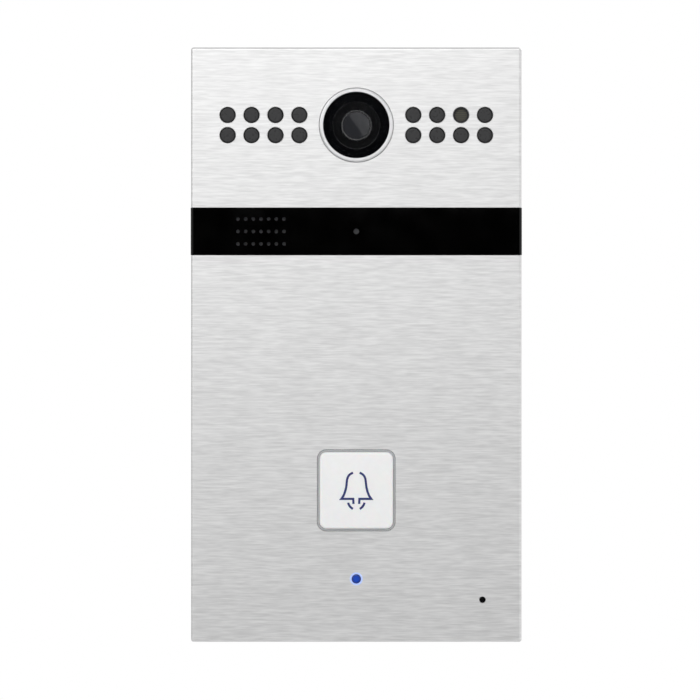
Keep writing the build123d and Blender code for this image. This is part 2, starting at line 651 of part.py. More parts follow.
def contact_pill():
    back = BUTTON_BOARD_FRONT - BUTTON_TRAVEL - 0.05
    return disc(2.4, BUTTON_BOARD_FRONT - 1.4, back, z=BUTTON_Z)


def button_board():
    low, high = -80.0, -23.4
    board = slab(44.0, high - low, BUTTON_BOARD_FRONT, BUTTON_BOARD_FRONT + BUTTON_BOARD, z=(low + high) / 2,
                 corner=1.5)
    for x, z in BUTTON_POSTS:
        board -= both_sides(disc(1.2, -40, 0, x, z))
    return board


def button_lamps():
    """Four white lamps under the button and a blue one under the status light."""
    front = BUTTON_BOARD_FRONT - 0.8
    places = [(x, BUTTON_Z + z) for x in (-LAMP_X, LAMP_X) for z in (-LAMP_Z, LAMP_Z)]
    places.append((0, STATUS_Z))
    return joined(slab(2.0, 1.4, front, BUTTON_BOARD_FRONT, x, z) for x, z in places)


# ---------------------------------------------------------------- main board

JACK_X, JACK_Z, JACK_WIDTH, JACK_HEIGHT = -14.5, BAY_Z, 16.0, 15.0
CONNECTOR_BACK = -7.2
TERMINAL_X, TERMINAL_WIDTH, TERMINAL_HEIGHT = 12.5, 22.0, 8.6
TERMINAL_LEVELS = (BAY_Z + 8.0, BAY_Z - 8.0)
TERMINAL_SPLIT = -12.0
POLES, POLE_PITCH = 5, 3.81


def main_board():
    board = slab(MAIN_BOARD_WIDTH, MAIN_BOARD_HIGH - MAIN_BOARD_LOW, MAIN_BOARD_FRONT, MAIN_BOARD_BACK,
                 z=(MAIN_BOARD_HIGH + MAIN_BOARD_LOW) / 2, corner=2)
    for x, z in MAIN_POSTS:
        board -= both_sides(disc(1.2, -40, 0, x, z))
    return board


def network_jack():
    """Upright socket for a network plug, open to the back, with the notch for the plug's latch."""
    jack = slab(JACK_WIDTH, JACK_HEIGHT, MAIN_BOARD_BACK, CONNECTOR_BACK, JACK_X, JACK_Z, 0.4)
    jack -= slab(11.9, 7.4, CONNECTOR_BACK - 10.5, CONNECTOR_BACK + 1, JACK_X, JACK_Z + 1.0)
    jack -= slab(6.4, 3.0, CONNECTOR_BACK - 10.5, CONNECTOR_BACK + 1, JACK_X, JACK_Z - 3.6)
    return jack


def terminal_headers():
    return joined(slab(TERMINAL_WIDTH, TERMINAL_HEIGHT, MAIN_BOARD_BACK, TERMINAL_SPLIT, TERMINAL_X, z, 0.3)
                  for z in TERMINAL_LEVELS)


def terminal_plug(z):
    """Pull-off plug: a square wire entry and a round screw hole for each pole."""
    plug = slab(TERMINAL_WIDTH - 1.2, TERMINAL_HEIGHT - 0.4, TERMINAL_SPLIT, CONNECTOR_BACK,
                TERMINAL_X, z, 0.3)
    for pole in range(POLES):
        x = TERMINAL_X + (pole - (POLES - 1) / 2) * POLE_PITCH
        plug -= slab(2.7, 2.7, CONNECTOR_BACK - 3.6, CONNECTOR_BACK + 1, x, z - 1.9)
        plug -= disc(1.3, CONNECTOR_BACK - 1.2, CONNECTOR_BACK + 1, x, z + 2.0)
    return plug


def terminal_plugs():
    return joined(terminal_plug(z) for z in TERMINAL_LEVELS)


PROCESSOR_X, PROCESSOR_Z, CHIP = -22.0, -38.0, 1.3
HEADER_Z, HEADER = 45.6, 2.4
SPEAKER_HEADER, MICROPHONE_HEADER = (-8.0, 22.0), (30.0, -73.0)


def board_chips():
    """Processor, and two memory chips below it."""
    chips = [slab(15.0, 15.0, MAIN_BOARD_BACK, MAIN_BOARD_BACK + CHIP, PROCESSOR_X, PROCESSOR_Z)]
    for side in (-1, 1):
        chips.append(slab(9.0, 13.0, MAIN_BOARD_BACK, MAIN_BOARD_BACK + 1.1, PROCESSOR_X + side * 6, -60.5))
    return joined(chips)


def heatsink():
    """Finned block stuck on the processor."""
    seat, side, base = MAIN_BOARD_BACK + CHIP, 20.0, 1.6
    fins, pitch, fin_width, fin_height = 7, 3.1, 1.1, 4.4
    sink = slab(side, side, seat, seat + base, PROCESSOR_X, PROCESSOR_Z)
    for fin in range(fins):
        x = PROCESSOR_X + (fin - (fins - 1) / 2) * pitch
        sink += slab(fin_width, side, seat + base, seat + base + fin_height, x, PROCESSOR_Z)
    return sink


def network_transformer():
    return slab(17.0, 13.0, MAIN_BOARD_BACK, MAIN_BOARD_BACK + 6.0, -24.0, -13.0, 0.4)


def door_relays():
    """Two relays for the door lock and a spare output."""
    return joined(slab(12.5, 20.0, MAIN_BOARD_BACK, MAIN_BOARD_BACK + 9.8, x, -76.0, 0.5)
                  for x in (17.5, 32.5))


def capacitors():
    cans = []
    for x, z in ((2.0, -30.0), (2.0, -42.0), (13.0, -42.0)):
        can = disc(4.0, MAIN_BOARD_BACK, MAIN_BOARD_BACK + 9.0, x, z)
        cans.append(fillet(can.edges().group_by(Axis.Y)[-1], 0.5))
    return joined(cans)


def board_plugs():
    """Small white headers for the speaker, microphone, camera and lamp leads."""
    front_side = [slab(7.5, 4.0, MAIN_BOARD_FRONT - HEADER, MAIN_BOARD_FRONT, x, z)
                  for x, z in (SPEAKER_HEADER, MICROPHONE_HEADER)]
    back_side = [slab(width, 4.0, MAIN_BOARD_BACK, MAIN_BOARD_BACK + HEADER, x, HEADER_Z)
                 for x, width in ((0.0, 12.0), (30.0, 7.5))]
    bridge = slab(15.0, 2.6, BUTTON_BOARD_FRONT + BUTTON_BOARD, MAIN_BOARD_FRONT, 0.0, -70.0)
    return joined([*front_side, *back_side, bridge])


def board_screws():
    """Identical small screws that hold the lamp board, the button board, the main board and the speaker."""
    made = [screw(2.0, 1.5, 1.0, LED_BOARD_BACK, LED_BOARD_FRONT - 4.4, x, z, 0.8)
            for x, z in led_post_centres()]
    for places, seat in ((MAIN_POSTS, MAIN_BOARD_BACK), (BUTTON_POSTS, BUTTON_BOARD_FRONT + BUTTON_BOARD)):
        for x, z in places:
            for side in (-1, 1):
                made.append(screw(2.0, 1.5, 1.0, seat, seat - 4.6, side * x, z, 0.8))
    for x, z in speaker_ear_centres():
        made.append(screw(2.0, 1.5, 1.0, -27.3, -27.3 - 2.6, x, z, 0.8))
    return joined(made)


# ---------------------------------------------------------------- leads inside

LEAD_RADIUS = 0.5
LEAD_PITCH = 1.3


def lead(route):
    """Insulated wire along a route: straight runs joined by arcs as large as the runs allow."""
    corners = [Vector(*point) for point in route]
    radii = []
    for before, corner, after in zip(corners, corners[1:], corners[2:]):
        turn = (corner - before).get_angle(after - corner)
        shorter = min((corner - before).length, (after - corner).length)
        radii.append(0.45 * shorter / tan(radians(turn / 2)))
    path = FilletPolyline(*route, radius=radii)
    start = Plane(origin=corners[0], z_dir=corners[1] - corners[0])
    return sweep(start * Circle(LEAD_RADIUS), path=path)


def internal_leads():
    """Two wires from the speaker and two from the microphone, each pair to its header on the main board."""
    basket = (-23.0, -26.7, 28.0)
    speaker_end = SPEAKER_HEADER[0] - 3.75
    capsule = CASING_INSIDE + 4.7
    microphone_end = MICROPHONE_HEADER[0] + 3.75
    wires = []
    for wire in range(2):
        drop = wire * LEAD_PITCH
        speaker_level = SPEAKER_HEADER[1] + 0.7 - drop
        wires.append(lead([(basket[0], basket[1], basket[2] - drop), (-22.2, -24.4, 26.0 - drop),
                           (-17.0, -22.8, speaker_level), (speaker_end, -22.8, speaker_level)]))
        microphone_level = MICROPHONE_HEADER[1] - 0.9 + drop
        wires.append(lead([(MIC_X - 1.0, capsule, MIC_Z + drop), (MIC_X - 1.0, capsule + 2.0, MIC_Z + drop),
                           (38.4, -22.6, -77.4 + drop), (36.5, -22.6, microphone_level),
                           (microphone_end, -22.6, microphone_level)]))
    return joined(wires)


def camera_ribbon():
    """Flat ribbon from the camera board's back down to its header on the main board."""
    width, thickness = 9.0, 0.3
    top_y = CAMERA_BOARD_FRONT + BOARD + thickness / 2
    low_y = MAIN_BOARD_BACK + HEADER + thickness / 2
    top, low = Vector(0, top_y, 66.0), Vector(0, low_y, HEADER_Z - 1.6)
    bend = Vector(0, top_y + 0.9, 55.5)
    path = FilletPolyline(top, bend, Vector(0, low_y, 50.5), low, radius=2.0)
    profile = Plane(origin=top, x_dir=(1, 0, 0), z_dir=bend - top) * Rectangle(width, thickness)
    return sweep(profile, path=path)


# ---------------------------------------------------------------- rear housing

def hook_pocket(x, level):
    """Outside of the blind pocket that a bracket hook goes into."""
    return block((x - 6.9, -11.4, level - 6.8), (x + 6.9, BACK_WALL_FRONT + 0.5, level + 8.4))


def hook_room(x, level):
    """Room in the pocket: a mouth through the back wall, and a taller space behind it for the lip."""
    mouth = block((x - 5.5, BACK_WALL_FRONT - 1, level - 5.4), (x + 5.5, 0, level + BRACKET + PLAY))
    return mouth + block((x - 5.5, -10.0, level - 5.4), (x + 5.5, BACK_WALL_FRONT, level + 7.0))


def rear_housing():
    """Tub that closes the back, with a skirt to the wall, a connector bay and pockets for the hooks."""
    tub = slab(HOUSING_WIDTH, HOUSING_HEIGHT, HOUSING_FRONT, HOUSING_RIM, corner=HOUSING_CORNER)
    inner_width, inner_height = HOUSING_WIDTH - 2 * HOUSING_WALL, HOUSING_HEIGHT - 2 * HOUSING_WALL
    inner_corner = HOUSING_CORNER - 1
    tub -= slab(inner_width, inner_height, HOUSING_FRONT - 1, BACK_WALL_FRONT, corner=inner_corner)
    tub -= slab(inner_width, inner_height, BACK_WALL_BACK, HOUSING_RIM + 1, corner=inner_corner)
    inside = slab(inner_width + 0.5, inner_height + 0.5, HOUSING_FRONT, BACK_WALL_BACK)
    bosses = [disc(BOSS_RADIUS, HOUSING_FRONT, BACK_WALL_BACK - 1, x, z) for x, z in boss_centres()]
    tub += joined(bosses) & inside
    # connector bay
    tub += slab(BAY_WIDTH + 2 * BAY_WALL, BAY_HEIGHT + 2 * BAY_WALL, BAY_FLOOR_FRONT, BACK_WALL_FRONT,
                z=BAY_Z, corner=2.5)
    tub -= slab(BAY_WIDTH, BAY_HEIGHT, BAY_FLOOR_BACK, 0, z=BAY_Z, corner=1.5)
    tub -= slab(JACK_WIDTH + 0.4, JACK_HEIGHT + 0.4, -20, 0, JACK_X, JACK_Z)
    for z in TERMINAL_LEVELS:
        tub -= slab(TERMINAL_WIDTH + 0.4, TERMINAL_HEIGHT + 0.4, -20, 0, TERMINAL_X, z)
    # hook pockets
    for level in HOOK_LEVELS:
        for x in (-HOOK_X, HOOK_X):
            tub += hook_pocket(x, level)
            tub -= hook_room(x, level)
    # pocket for the locking lug, with a thick floor for the screw's head
    tub += block((-9.5, -13.0, -HOUSING_HEIGHT / 2 + HOUSING_WALL), (9.5, BACK_WALL_FRONT, -77.0))
    tub -= block((-8.0, -11.5, -90.0), (8.0, 0, -78.5))
    tub -= upright(1.7, -HOUSING_HEIGHT / 2 - 1, -89.0, 0, LOCK_Y)
    tub -= upright(3.1, -HOUSING_HEIGHT / 2 - 1, -HOUSING_HEIGHT / 2 + 2.2, 0, LOCK_Y)
    # guide for the tamper plunger
    tub += disc(4.2, -13.0, BACK_WALL_FRONT, TAMPER_X, TAMPER_Z)
    tub -= disc(COLLAR_RADIUS + 0.2, -14.0, COLLAR_BACK + TAMPER_TRAVEL + PLAY, TAMPER_X, TAMPER_Z)
    tub -= disc(TAMPER_RADIUS + 0.1, -14.0, 0, TAMPER_X, TAMPER_Z)
    for x, z in boss_centres():
        tub -= disc(1.7, -25, 0, x, z)
        tub -= disc(3.2, HEAD_SEAT, 0, x, z)
    return tub


def ring(width, height, band, front, back, z=0.0, corner=2.0):
    """Flat rectangular gasket of one even width."""
    outer = slab(width, height, front, back, z=z, corner=corner)
    inner_corner = max(corner - band, 0.3)
    return outer - slab(width - 2 * band, height - 2 * band, front - 1, back + 1, z=z, corner=inner_corner)


def housing_gasket():
    return ring(103.0, 187.0, 1.5, CASING_BACK, HOUSING_FRONT)


def bay_gasket():
    """Foam frame round the bay, squeezed between the housing's back and the bracket."""
    return ring(BAY_WIDTH + 8, BAY_HEIGHT + 8, 3.0, BACK_WALL_BACK, -BRACKET, z=BAY_Z, corner=3.5)


def wall_gasket():
    """Foam strip on the skirt's rim, flat against the wall."""
    return ring(103.4, 187.4, 1.8, HOUSING_RIM, 0.0)


def housing_screws():
    return joined(screw(2.8, 2.4, 1.5, HEAD_SEAT, -27.5, x, z, 1.2) for x, z in boss_centres())


# ---------------------------------------------------------------- tamper switch

def tamper_plunger():
    """Pin with a collar: the wall holds its end on the board's contacts, and it springs out off the wall."""
    pin = disc(TAMPER_RADIUS, MAIN_BOARD_BACK + 0.05, -0.2, TAMPER_X, TAMPER_Z)
    pin = chamfer(pin.edges().group_by(Axis.Y)[-1], 0.4)
    return pin + disc(COLLAR_RADIUS, COLLAR_FRONT, COLLAR_BACK, TAMPER_X, TAMPER_Z)


def tamper_spring():
    """Coil spring round the pin, between the main board and the collar."""
    wire, clearance, turns = 0.25, 0.25, 6
    low, high = MAIN_BOARD_BACK + wire, COLLAR_FRONT - wire
    helix = Helix(pitch=(high - low) / turns, height=high - low, radius=TAMPER_RADIUS + clearance + wire)
    section = Plane(origin=helix @ 0, z_dir=helix % 0) * Circle(wire)
    coil = sweep(section, path=helix, is_frenet=True)
    return Pos(TAMPER_X, low, TAMPER_Z) * Rot(-90, 0, 0) * coil


# ---------------------------------------------------------------- wall bracket

def hook(x, level):
    """Tab folded out of the plate, with a lip that points up."""
    half = HOOK_WIDTH / 2
    tab = block((x - half, -BRACKET - HOOK_REACH, level), (x + half, 0, level + BRACKET))
    return tab + block((x - half, -BRACKET - HOOK_REACH, level), (x + half, -HOOK_REACH, level + HOOK_LIP))


def wall_bracket():
    """Steel plate for the wall, with four hooks, a cable opening and a lug for the locking screw."""
    plate = slab(BRACKET_WIDTH, BRACKET_HEIGHT, -BRACKET, 0, corner=6)
    plate -= slab(CABLE_WIDTH, CABLE_HEIGHT, -5, 5, z=BAY_Z, corner=4)
    for x in (-WALL_HOLE_X, WALL_HOLE_X):
        for z in (-WALL_HOLE_Z, WALL_HOLE_Z):
            plate -= disc(WALL_HOLE, -5, 5, x, z)
    plate -= disc(4.0, -5, 5, TAMPER_X, TAMPER_Z)
    for level in HOOK_LEVELS:
        for x in (-HOOK_X, HOOK_X):
            # the window that the hook's tab was folded out of
            half = HOOK_WIDTH / 2 + 0.6
            plate -= block((x - half, -5, level + BRACKET), (x + half, 5, level + 11.0))
            plate += hook(x, level)
    lug = block((-6.0, -10.5, LOCK_Z), (6.0, 0, LOCK_Z + BRACKET))
    neck = block((-6.0, -BRACKET, LOCK_Z), (6.0, 0, -BRACKET_HEIGHT / 2 + 2))
    plate += lug + neck
    return plate - upright(1.55, LOCK_Z - 1, LOCK_Z + BRACKET + 1, 0, LOCK_Y)


def lock_screw():
    """Screw that goes up through the housing's bottom into the bracket's lug."""
    low = -HOUSING_HEIGHT / 2
    head = upright(2.8, low, low + 2.0, 0, LOCK_Y)
    head = fillet(head.edges().group_by(Axis.Z)[0], 0.5)
    socket = Pos(0, LOCK_Y, low) * RegularPolygon(1.2, 6)
    head -= extrude(socket, amount=1.2)
    shank = upright(1.5, low + 2.0, LOCK_Z + BRACKET + 2.5, 0, LOCK_Y)
    return head + chamfer(shank.edges().group_by(Axis.Z)[-1], 0.4)


# ---------------------------------------------------------------- write the parts

PARTS = [
    wall_bracket, wall_gasket, lock_screw, rear_housing, housing_gasket, housing_screws, bay_gasket,
    front_casing, upper_faceplate, lower_faceplate, front_band, adhesive_strips,
    camera_trim_ring, camera_cover_glass, camera_gasket, lens_barrel, lens_elements, lens_holder,
    filter_shuttle, shuttle_filters, image_sensor, camera_board, camera_screws, camera_ribbon,
    infrared_windows, infrared_leds, light_sensor, led_board,
    speaker_mesh, speaker_gasket, speaker_basket, speaker_cone, speaker_magnet,
    sensor_lens, proximity_sensor, status_light_pipe, microphone_boot, microphone,
    call_button, button_surround, bell_icon, button_diffuser, button_seal, contact_pill,
    button_board, button_lamps,
    main_board, network_jack, terminal_headers, terminal_plugs, board_chips, heatsink,
    network_transformer, door_relays, capacitors, board_plugs, board_screws, internal_leads,
    tamper_plunger, tamper_spring,
]

os.makedirs("parts", exist_ok=True)
for make in PARTS:
    export_step(make(), f"parts/{make.__name__}.step")
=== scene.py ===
import math

import bmesh
import bpy
from mathutils import Matrix, Vector


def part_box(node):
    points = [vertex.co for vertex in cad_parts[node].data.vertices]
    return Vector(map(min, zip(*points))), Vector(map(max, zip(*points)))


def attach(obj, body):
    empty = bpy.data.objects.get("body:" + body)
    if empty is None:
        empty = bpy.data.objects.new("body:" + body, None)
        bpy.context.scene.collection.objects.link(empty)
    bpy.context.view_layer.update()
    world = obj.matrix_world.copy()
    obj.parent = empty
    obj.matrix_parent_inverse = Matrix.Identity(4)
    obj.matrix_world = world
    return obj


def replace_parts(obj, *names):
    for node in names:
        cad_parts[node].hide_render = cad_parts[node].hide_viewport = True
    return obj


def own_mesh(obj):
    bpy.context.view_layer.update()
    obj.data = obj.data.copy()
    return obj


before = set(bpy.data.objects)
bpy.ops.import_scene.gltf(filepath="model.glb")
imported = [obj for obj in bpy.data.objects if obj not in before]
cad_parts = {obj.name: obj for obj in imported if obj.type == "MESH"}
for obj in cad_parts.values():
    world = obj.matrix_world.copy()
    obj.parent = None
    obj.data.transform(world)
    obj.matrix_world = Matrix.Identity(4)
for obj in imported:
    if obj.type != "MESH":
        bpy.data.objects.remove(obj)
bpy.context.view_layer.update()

# ---------------------------------------------------------------- wall bracket
# A steel plate that is screwed to the wall first. It is pressed and folded from 1.5 mm sheet and then
# zinc plated, so it is a dull grey with soft patches where the plating took differently.

MM = 0.001


def linear(code):
    """Turns an sRGB hex colour into the linear numbers that a shader takes."""
    parts = [int(code[place:place + 2], 16) / 255 for place in (1, 3, 5)]
    return [p / 12.92 if p <= 0.04045 else ((p + 0.055) / 1.055) ** 2.4 for p in parts] + [1.0]


def add(made, kind, inputs=None, **settings):
    """Adds a node to a material or a world. An input is given a number, a colour or another node's socket."""
    node = made.node_tree.nodes.new("ShaderNode" + kind)
    for name, value in settings.items():
        setattr(node, name, value)
    for name, value in (inputs or {}).items():
        if isinstance(value, bpy.types.NodeSocket):
            made.node_tree.links.new(value, node.inputs[name])
        else:
            node.inputs[name].default_value = value
    return node


def new_finish(name, **inputs):
    """A material of that name, and its shader with the inputs that are the same all over."""
    made = bpy.data.materials.new(name)
    made.use_nodes = True
    shader = made.node_tree.nodes["Principled BSDF"]
    for socket, value in inputs.items():
        shader.inputs[socket.replace("_", " ")].default_value = value
    return made, shader


def grained(name, dark, light, grain, roughness, bump=0.0, stretch=(1, 1, 1), detail=3.0, **inputs):
    """A surface whose colour and gloss vary with grains of one size in mm, and with a low relief in mm."""
    made, shader = new_finish(name, **inputs)
    place = add(made, "TexCoord").outputs["Object"]
    scaled = add(made, "Mapping", {"Vector": place, "Scale": [s / (grain * MM) for s in stretch]})
    noise = add(made, "TexNoise", {"Vector": scaled.outputs[0], "Scale": 1.0, "Detail": detail})
    level = add(made, "MapRange", {"Value": noise.outputs[0], "From Min": 0.3, "From Max": 0.7})
    tone = add(made, "Mix", {0: level.outputs[0], 6: linear(dark), 7: linear(light)}, data_type="RGBA")
    gloss = add(made, "MapRange", {"Value": noise.outputs[0], "From Min": 0.3, "From Max": 0.7,
                                   "To Min": roughness[0], "To Max": roughness[1]})
    wire = made.node_tree.links.new
    wire(tone.outputs[2], shader.inputs["Base Color"])
    wire(gloss.outputs[0], shader.inputs["Roughness"])
    if bump:
        relief = add(made, "Bump", {"Height": noise.outputs[0], "Distance": bump * MM})
        wire(relief.outputs[0], shader.inputs["Normal"])
    return made


def dress(material, *nodes):
    """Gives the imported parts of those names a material."""
    for node in nodes:
        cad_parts[node].material_slots[0].material = material


def zinc_plated_steel():
    """Zinc plating: pale patches a few millimetres across, each with its own gloss, and fine drawn lines."""
    made, shader = new_finish("zinc_plated_steel", Metallic=1.0)
    place = add(made, "TexCoord").outputs["Object"]
    patch_size, line_size = 4.0 * MM, 0.25 * MM
    patches = add(made, "TexVoronoi", {"Vector": place, "Scale": 1 / patch_size})
    patch = add(made, "SeparateColor", {"Color": patches.outputs["Color"]})
    lines = add(made, "Mapping", {"Vector": place, "Scale": (1 / line_size, 1 / line_size, 0.04 / line_size)})
    drawn = add(made, "TexNoise", {"Vector": lines.outputs[0], "Scale": 1.0, "Detail": 2.0})
    both = add(made, "Mix", {0: 0.35, 2: patch.outputs[0], 3: drawn.outputs[0]})
    tone = add(made, "Mix", {0: both.outputs[0], 6: linear("#9BA0A3"), 7: linear("#C2C6C8")},
               data_type="RGBA")
    gloss = add(made, "MapRange", {"Value": both.outputs[0], "To Min": 0.34, "To Max": 0.52})
    relief = add(made, "Bump", {"Height": drawn.outputs[0], "Strength": 0.4, "Distance": 0.02 * MM})
    wire = made.node_tree.links.new
    wire(tone.outputs[2], shader.inputs["Base Color"])
    wire(gloss.outputs[0], shader.inputs["Roughness"])
    wire(relief.outputs[0], shader.inputs["Normal"])
    return made


zinc = zinc_plated_steel()
dress(zinc, "wall_bracket", "speaker_basket", "speaker_magnet")

# ---------------------------------------------------------------- foam and rubber seals
# Closed-cell foam strips lie on the wall and round the connector bay, and rubber ones seal the housing and
# the cover glass. Foam is cut from sheet and shows its cells; the rubber is moulded and nearly smooth.

foam = grained("closed_cell_foam", "#1C1D1E", "#333436", 0.35, (0.85, 0.98), bump=0.08, detail=4.0)
dress(foam, "wall_gasket", "bay_gasket", "speaker_gasket")
moulded_rubber = grained("moulded_black_rubber", "#151516", "#202122", 0.6, (0.6, 0.75), bump=0.01)
dress(moulded_rubber, "housing_gasket", "camera_gasket", "microphone_boot")

# ---------------------------------------------------------------- rear housing
# The plastic back, moulded from black ABS in a tool with a fine spark-eroded texture, so it has a soft
# even sheen. Six stainless screws hold it, and one more at the bottom edge locks it to the bracket.

spark_textured_abs = grained("spark_textured_black_abs", "#1A1B1D", "#26272A", 0.28, (0.46, 0.62),
                             bump=0.02)
dress(spark_textured_abs, "rear_housing", "front_casing", "lens_holder")

# the screws are turned, so their heads flash in fine specks
stainless = grained("turned_stainless_steel", "#A9ABAC", "#C9CBCC", 0.3, (0.22, 0.36), bump=0.004,
                    Metallic=1.0)
dress(stainless, "housing_screws", "lock_screw", "camera_screws", "board_screws")

# ---------------------------------------------------------------- boards
# The circuit boards are glass-fibre laminate under a green lacquer, with the copper tracks showing through
# it as slightly raised, paler lines. The parts on them are bought in and soldered on.

def lacquered_laminate():
    """Green solder lacquer over a grid of tracks 0.4 mm wide."""
    made, shader = new_finish("green_solder_lacquer", Coat_Weight=0.3, Coat_Roughness=0.2)
    place = add(made, "TexCoord").outputs["Object"]
    cell = 3.2 * MM
    tracks = add(made, "TexVoronoi", {"Vector": place, "Scale": 1 / cell}, feature="DISTANCE_TO_EDGE",
                 distance="EUCLIDEAN")
    track = add(made, "MapRange", {"Value": tracks.outputs[0], "From Min": 0.05, "From Max": 0.09,
                                   "To Min": 1.0, "To Max": 0.0})
    tone = add(made, "Mix", {0: track.outputs[0], 6: linear("#134A29"), 7: linear("#2C7A48")},
               data_type="RGBA")
    relief = add(made, "Bump", {"Height": track.outputs[0], "Distance": 0.03 * MM})
    wire = made.node_tree.links.new
    wire(tone.outputs[2], shader.inputs["Base Color"])
    wire(relief.outputs[0], shader.inputs["Normal"])
    shader.inputs["Roughness"].default_value = 0.35
    return made


dress(lacquered_laminate(), "main_board", "button_board", "led_board", "camera_board")

# moulded epoxy is a dull charcoal with a very fine grain
chip_moulding = grained("chip_moulding_compound", "#161617", "#1F1F20", 0.15, (0.5, 0.62), bump=0.006)
dress(chip_moulding, "board_chips", "network_transformer", "proximity_sensor")

# black anodising leaves a deep satin black with a trace of metal in it
black_anodised = grained("black_anodised_aluminium", "#121315", "#1B1D20", 0.4, (0.38, 0.5), bump=0.004,
                         Metallic=0.6)
dress(black_anodised, "heatsink", "filter_shuttle")

# glossy moulded cases, shrunk sleeves, natural nylon plugs and soft lead insulation, each a little uneven
dress(grained("relay_case_blue", "#22508F", "#2C60A8", 0.8, (0.25, 0.35)), "door_relays")
dress(grained("capacitor_sleeve", "#1D1F29", "#272A38", 1.0, (0.2, 0.3)), "capacitors")
dress(grained("natural_nylon", "#DAD5C6", "#EBE7DB", 0.7, (0.4, 0.5)), "board_plugs")
dress(grained("lead_insulation_red", "#9E241D", "#B83028", 1.5, (0.4, 0.5)), "internal_leads")

# amber film, smooth and half glossy
dress(grained("polyimide_film", "#B5752B", "#D08D3C", 2.0, (0.25, 0.35)), "camera_ribbon")

# ---------------------------------------------------------------- connectors in the bay
# The sockets that the wall's cables go into: a metal-shelled network jack with eight sprung gold wires, and
# green screw terminals that pull off their headers. Their clamp screws are slotted and zinc plated.

# tin plate is bright, with cloudy patches about a millimetre across
tin_plate = grained("tin_plated_shell", "#A6A9AB", "#C4C7C9", 1.2, (0.25, 0.4), bump=0.003, Metallic=1.0)
dress(tin_plate, "network_jack")

# moulded polyamide has a soft sheen and a fine grain
dress(grained("green_polyamide", "#25773F", "#33934F", 0.5, (0.42, 0.55), bump=0.01),
      "terminal_headers", "terminal_plugs")


def begin():
    """Nothing is selected, so that the next operator works on its own piece alone."""
    if bpy.context.object and bpy.context.object.mode != "OBJECT":
        bpy.ops.object.mode_set(mode="OBJECT")
    bpy.ops.object.select_all(action="DESELECT")


def settle(name, material, body="root", angle=30.0):
    """Leaves edit mode, puts the piece's origin at zero, and gives it its finish and its body."""
    if bpy.context.object.mode != "OBJECT":
        bpy.ops.object.mode_set(mode="OBJECT")
    piece = bpy.context.object
    piece.name = name
    bpy.ops.object.transform_apply(location=True, rotation=True, scale=True)
    bpy.ops.object.mode_set(mode="EDIT")
    bpy.ops.mesh.select_all(action="SELECT")
    bpy.ops.mesh.normals_make_consistent(inside=False)
    bpy.ops.object.mode_set(mode="OBJECT")
    bpy.ops.object.shade_smooth_by_angle(angle=math.radians(angle))
    piece.data.materials.clear()
    piece.data.materials.append(material)
    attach(piece, body)
    return piece


def pick(piece, faces=None, edges=None):
    """Selects, in edit mode, the faces or the edges that pass a test, and nothing else."""
    bpy.ops.mesh.select_mode(type="FACE" if faces else "EDGE")
    bpy.ops.mesh.select_all(action="DESELECT")
    shape = bmesh.from_edit_mesh(piece.data)
    for item in (shape.faces if faces else shape.edges):
        if (faces or edges)(item):
            item.select_set(True)
    bmesh.update_edit_mesh(piece.data)


def block(low, high):
    """A box between two corners, in edit mode, with its place already in its mesh."""
    begin()
    middle = [(a + b) / 2 for a, b in zip(low, high)]
    size = [b - a for a, b in zip(low, high)]
    bpy.ops.mesh.primitive_cube_add(size=1, location=middle, scale=size)
    bpy.ops.object.transform_apply(location=True, rotation=True, scale=True)
    bpy.ops.object.mode_set(mode="EDIT")
    return bpy.context.object


def front_face(face):
    return face.normal.y < -0.99


def back_face(face):
    return face.normal.y > 0.99


def copies(piece, name, places):
    """Copies of a finished piece, each with its own mesh, moved by the offsets given, joined to one piece."""
    begin()
    made = []
    for place in places:
        twin = piece.copy()
        twin.data = piece.data.copy()
        bpy.context.scene.collection.objects.link(twin)
        twin.data.transform(Matrix.Translation(place))
        made.append(twin)
    for twin in made:
        twin.select_set(True)
    bpy.context.view_layer.objects.active = made[0]
    bpy.ops.object.join()
    made[0].name = name
    bpy.data.objects.remove(piece)
    return made[0]


jack_low, jack_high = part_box("network_jack")
jack_x = (jack_low.x + jack_high.x) / 2
socket_top = (jack_low.z + jack_high.z) / 2 + 4.7 * MM
# a thin gold flash over bronze: warm, bright and nearly a mirror
gold = grained("gold_flashed_bronze", "#C79A3B", "#E2BC60", 0.5, (0.18, 0.28), Metallic=1.0)
contact_count, contact_width, contact_pitch, contact_slant = 8, 0.4 * MM, 1.02 * MM, 2.6 * MM
contact_inner, contact_outer = 9.5 * MM, 2.0 * MM
contact = block((jack_x - contact_width / 2, jack_high.y - contact_inner, socket_top - 0.45 * MM),
                (jack_x + contact_width / 2, jack_high.y - contact_outer, socket_top - 0.2 * MM))
pick(contact, faces=front_face)
bpy.ops.transform.translate(value=(0, 0, -contact_slant))
bpy.ops.mesh.select_all(action="SELECT")
bpy.ops.mesh.bevel(offset=0.05 * MM, segments=2)
settle("socket_contact", gold)
offsets = [((number - (contact_count - 1) / 2) * contact_pitch, 0, 0) for number in range(contact_count)]
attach(copies(contact, "socket_contacts", offsets), "root")


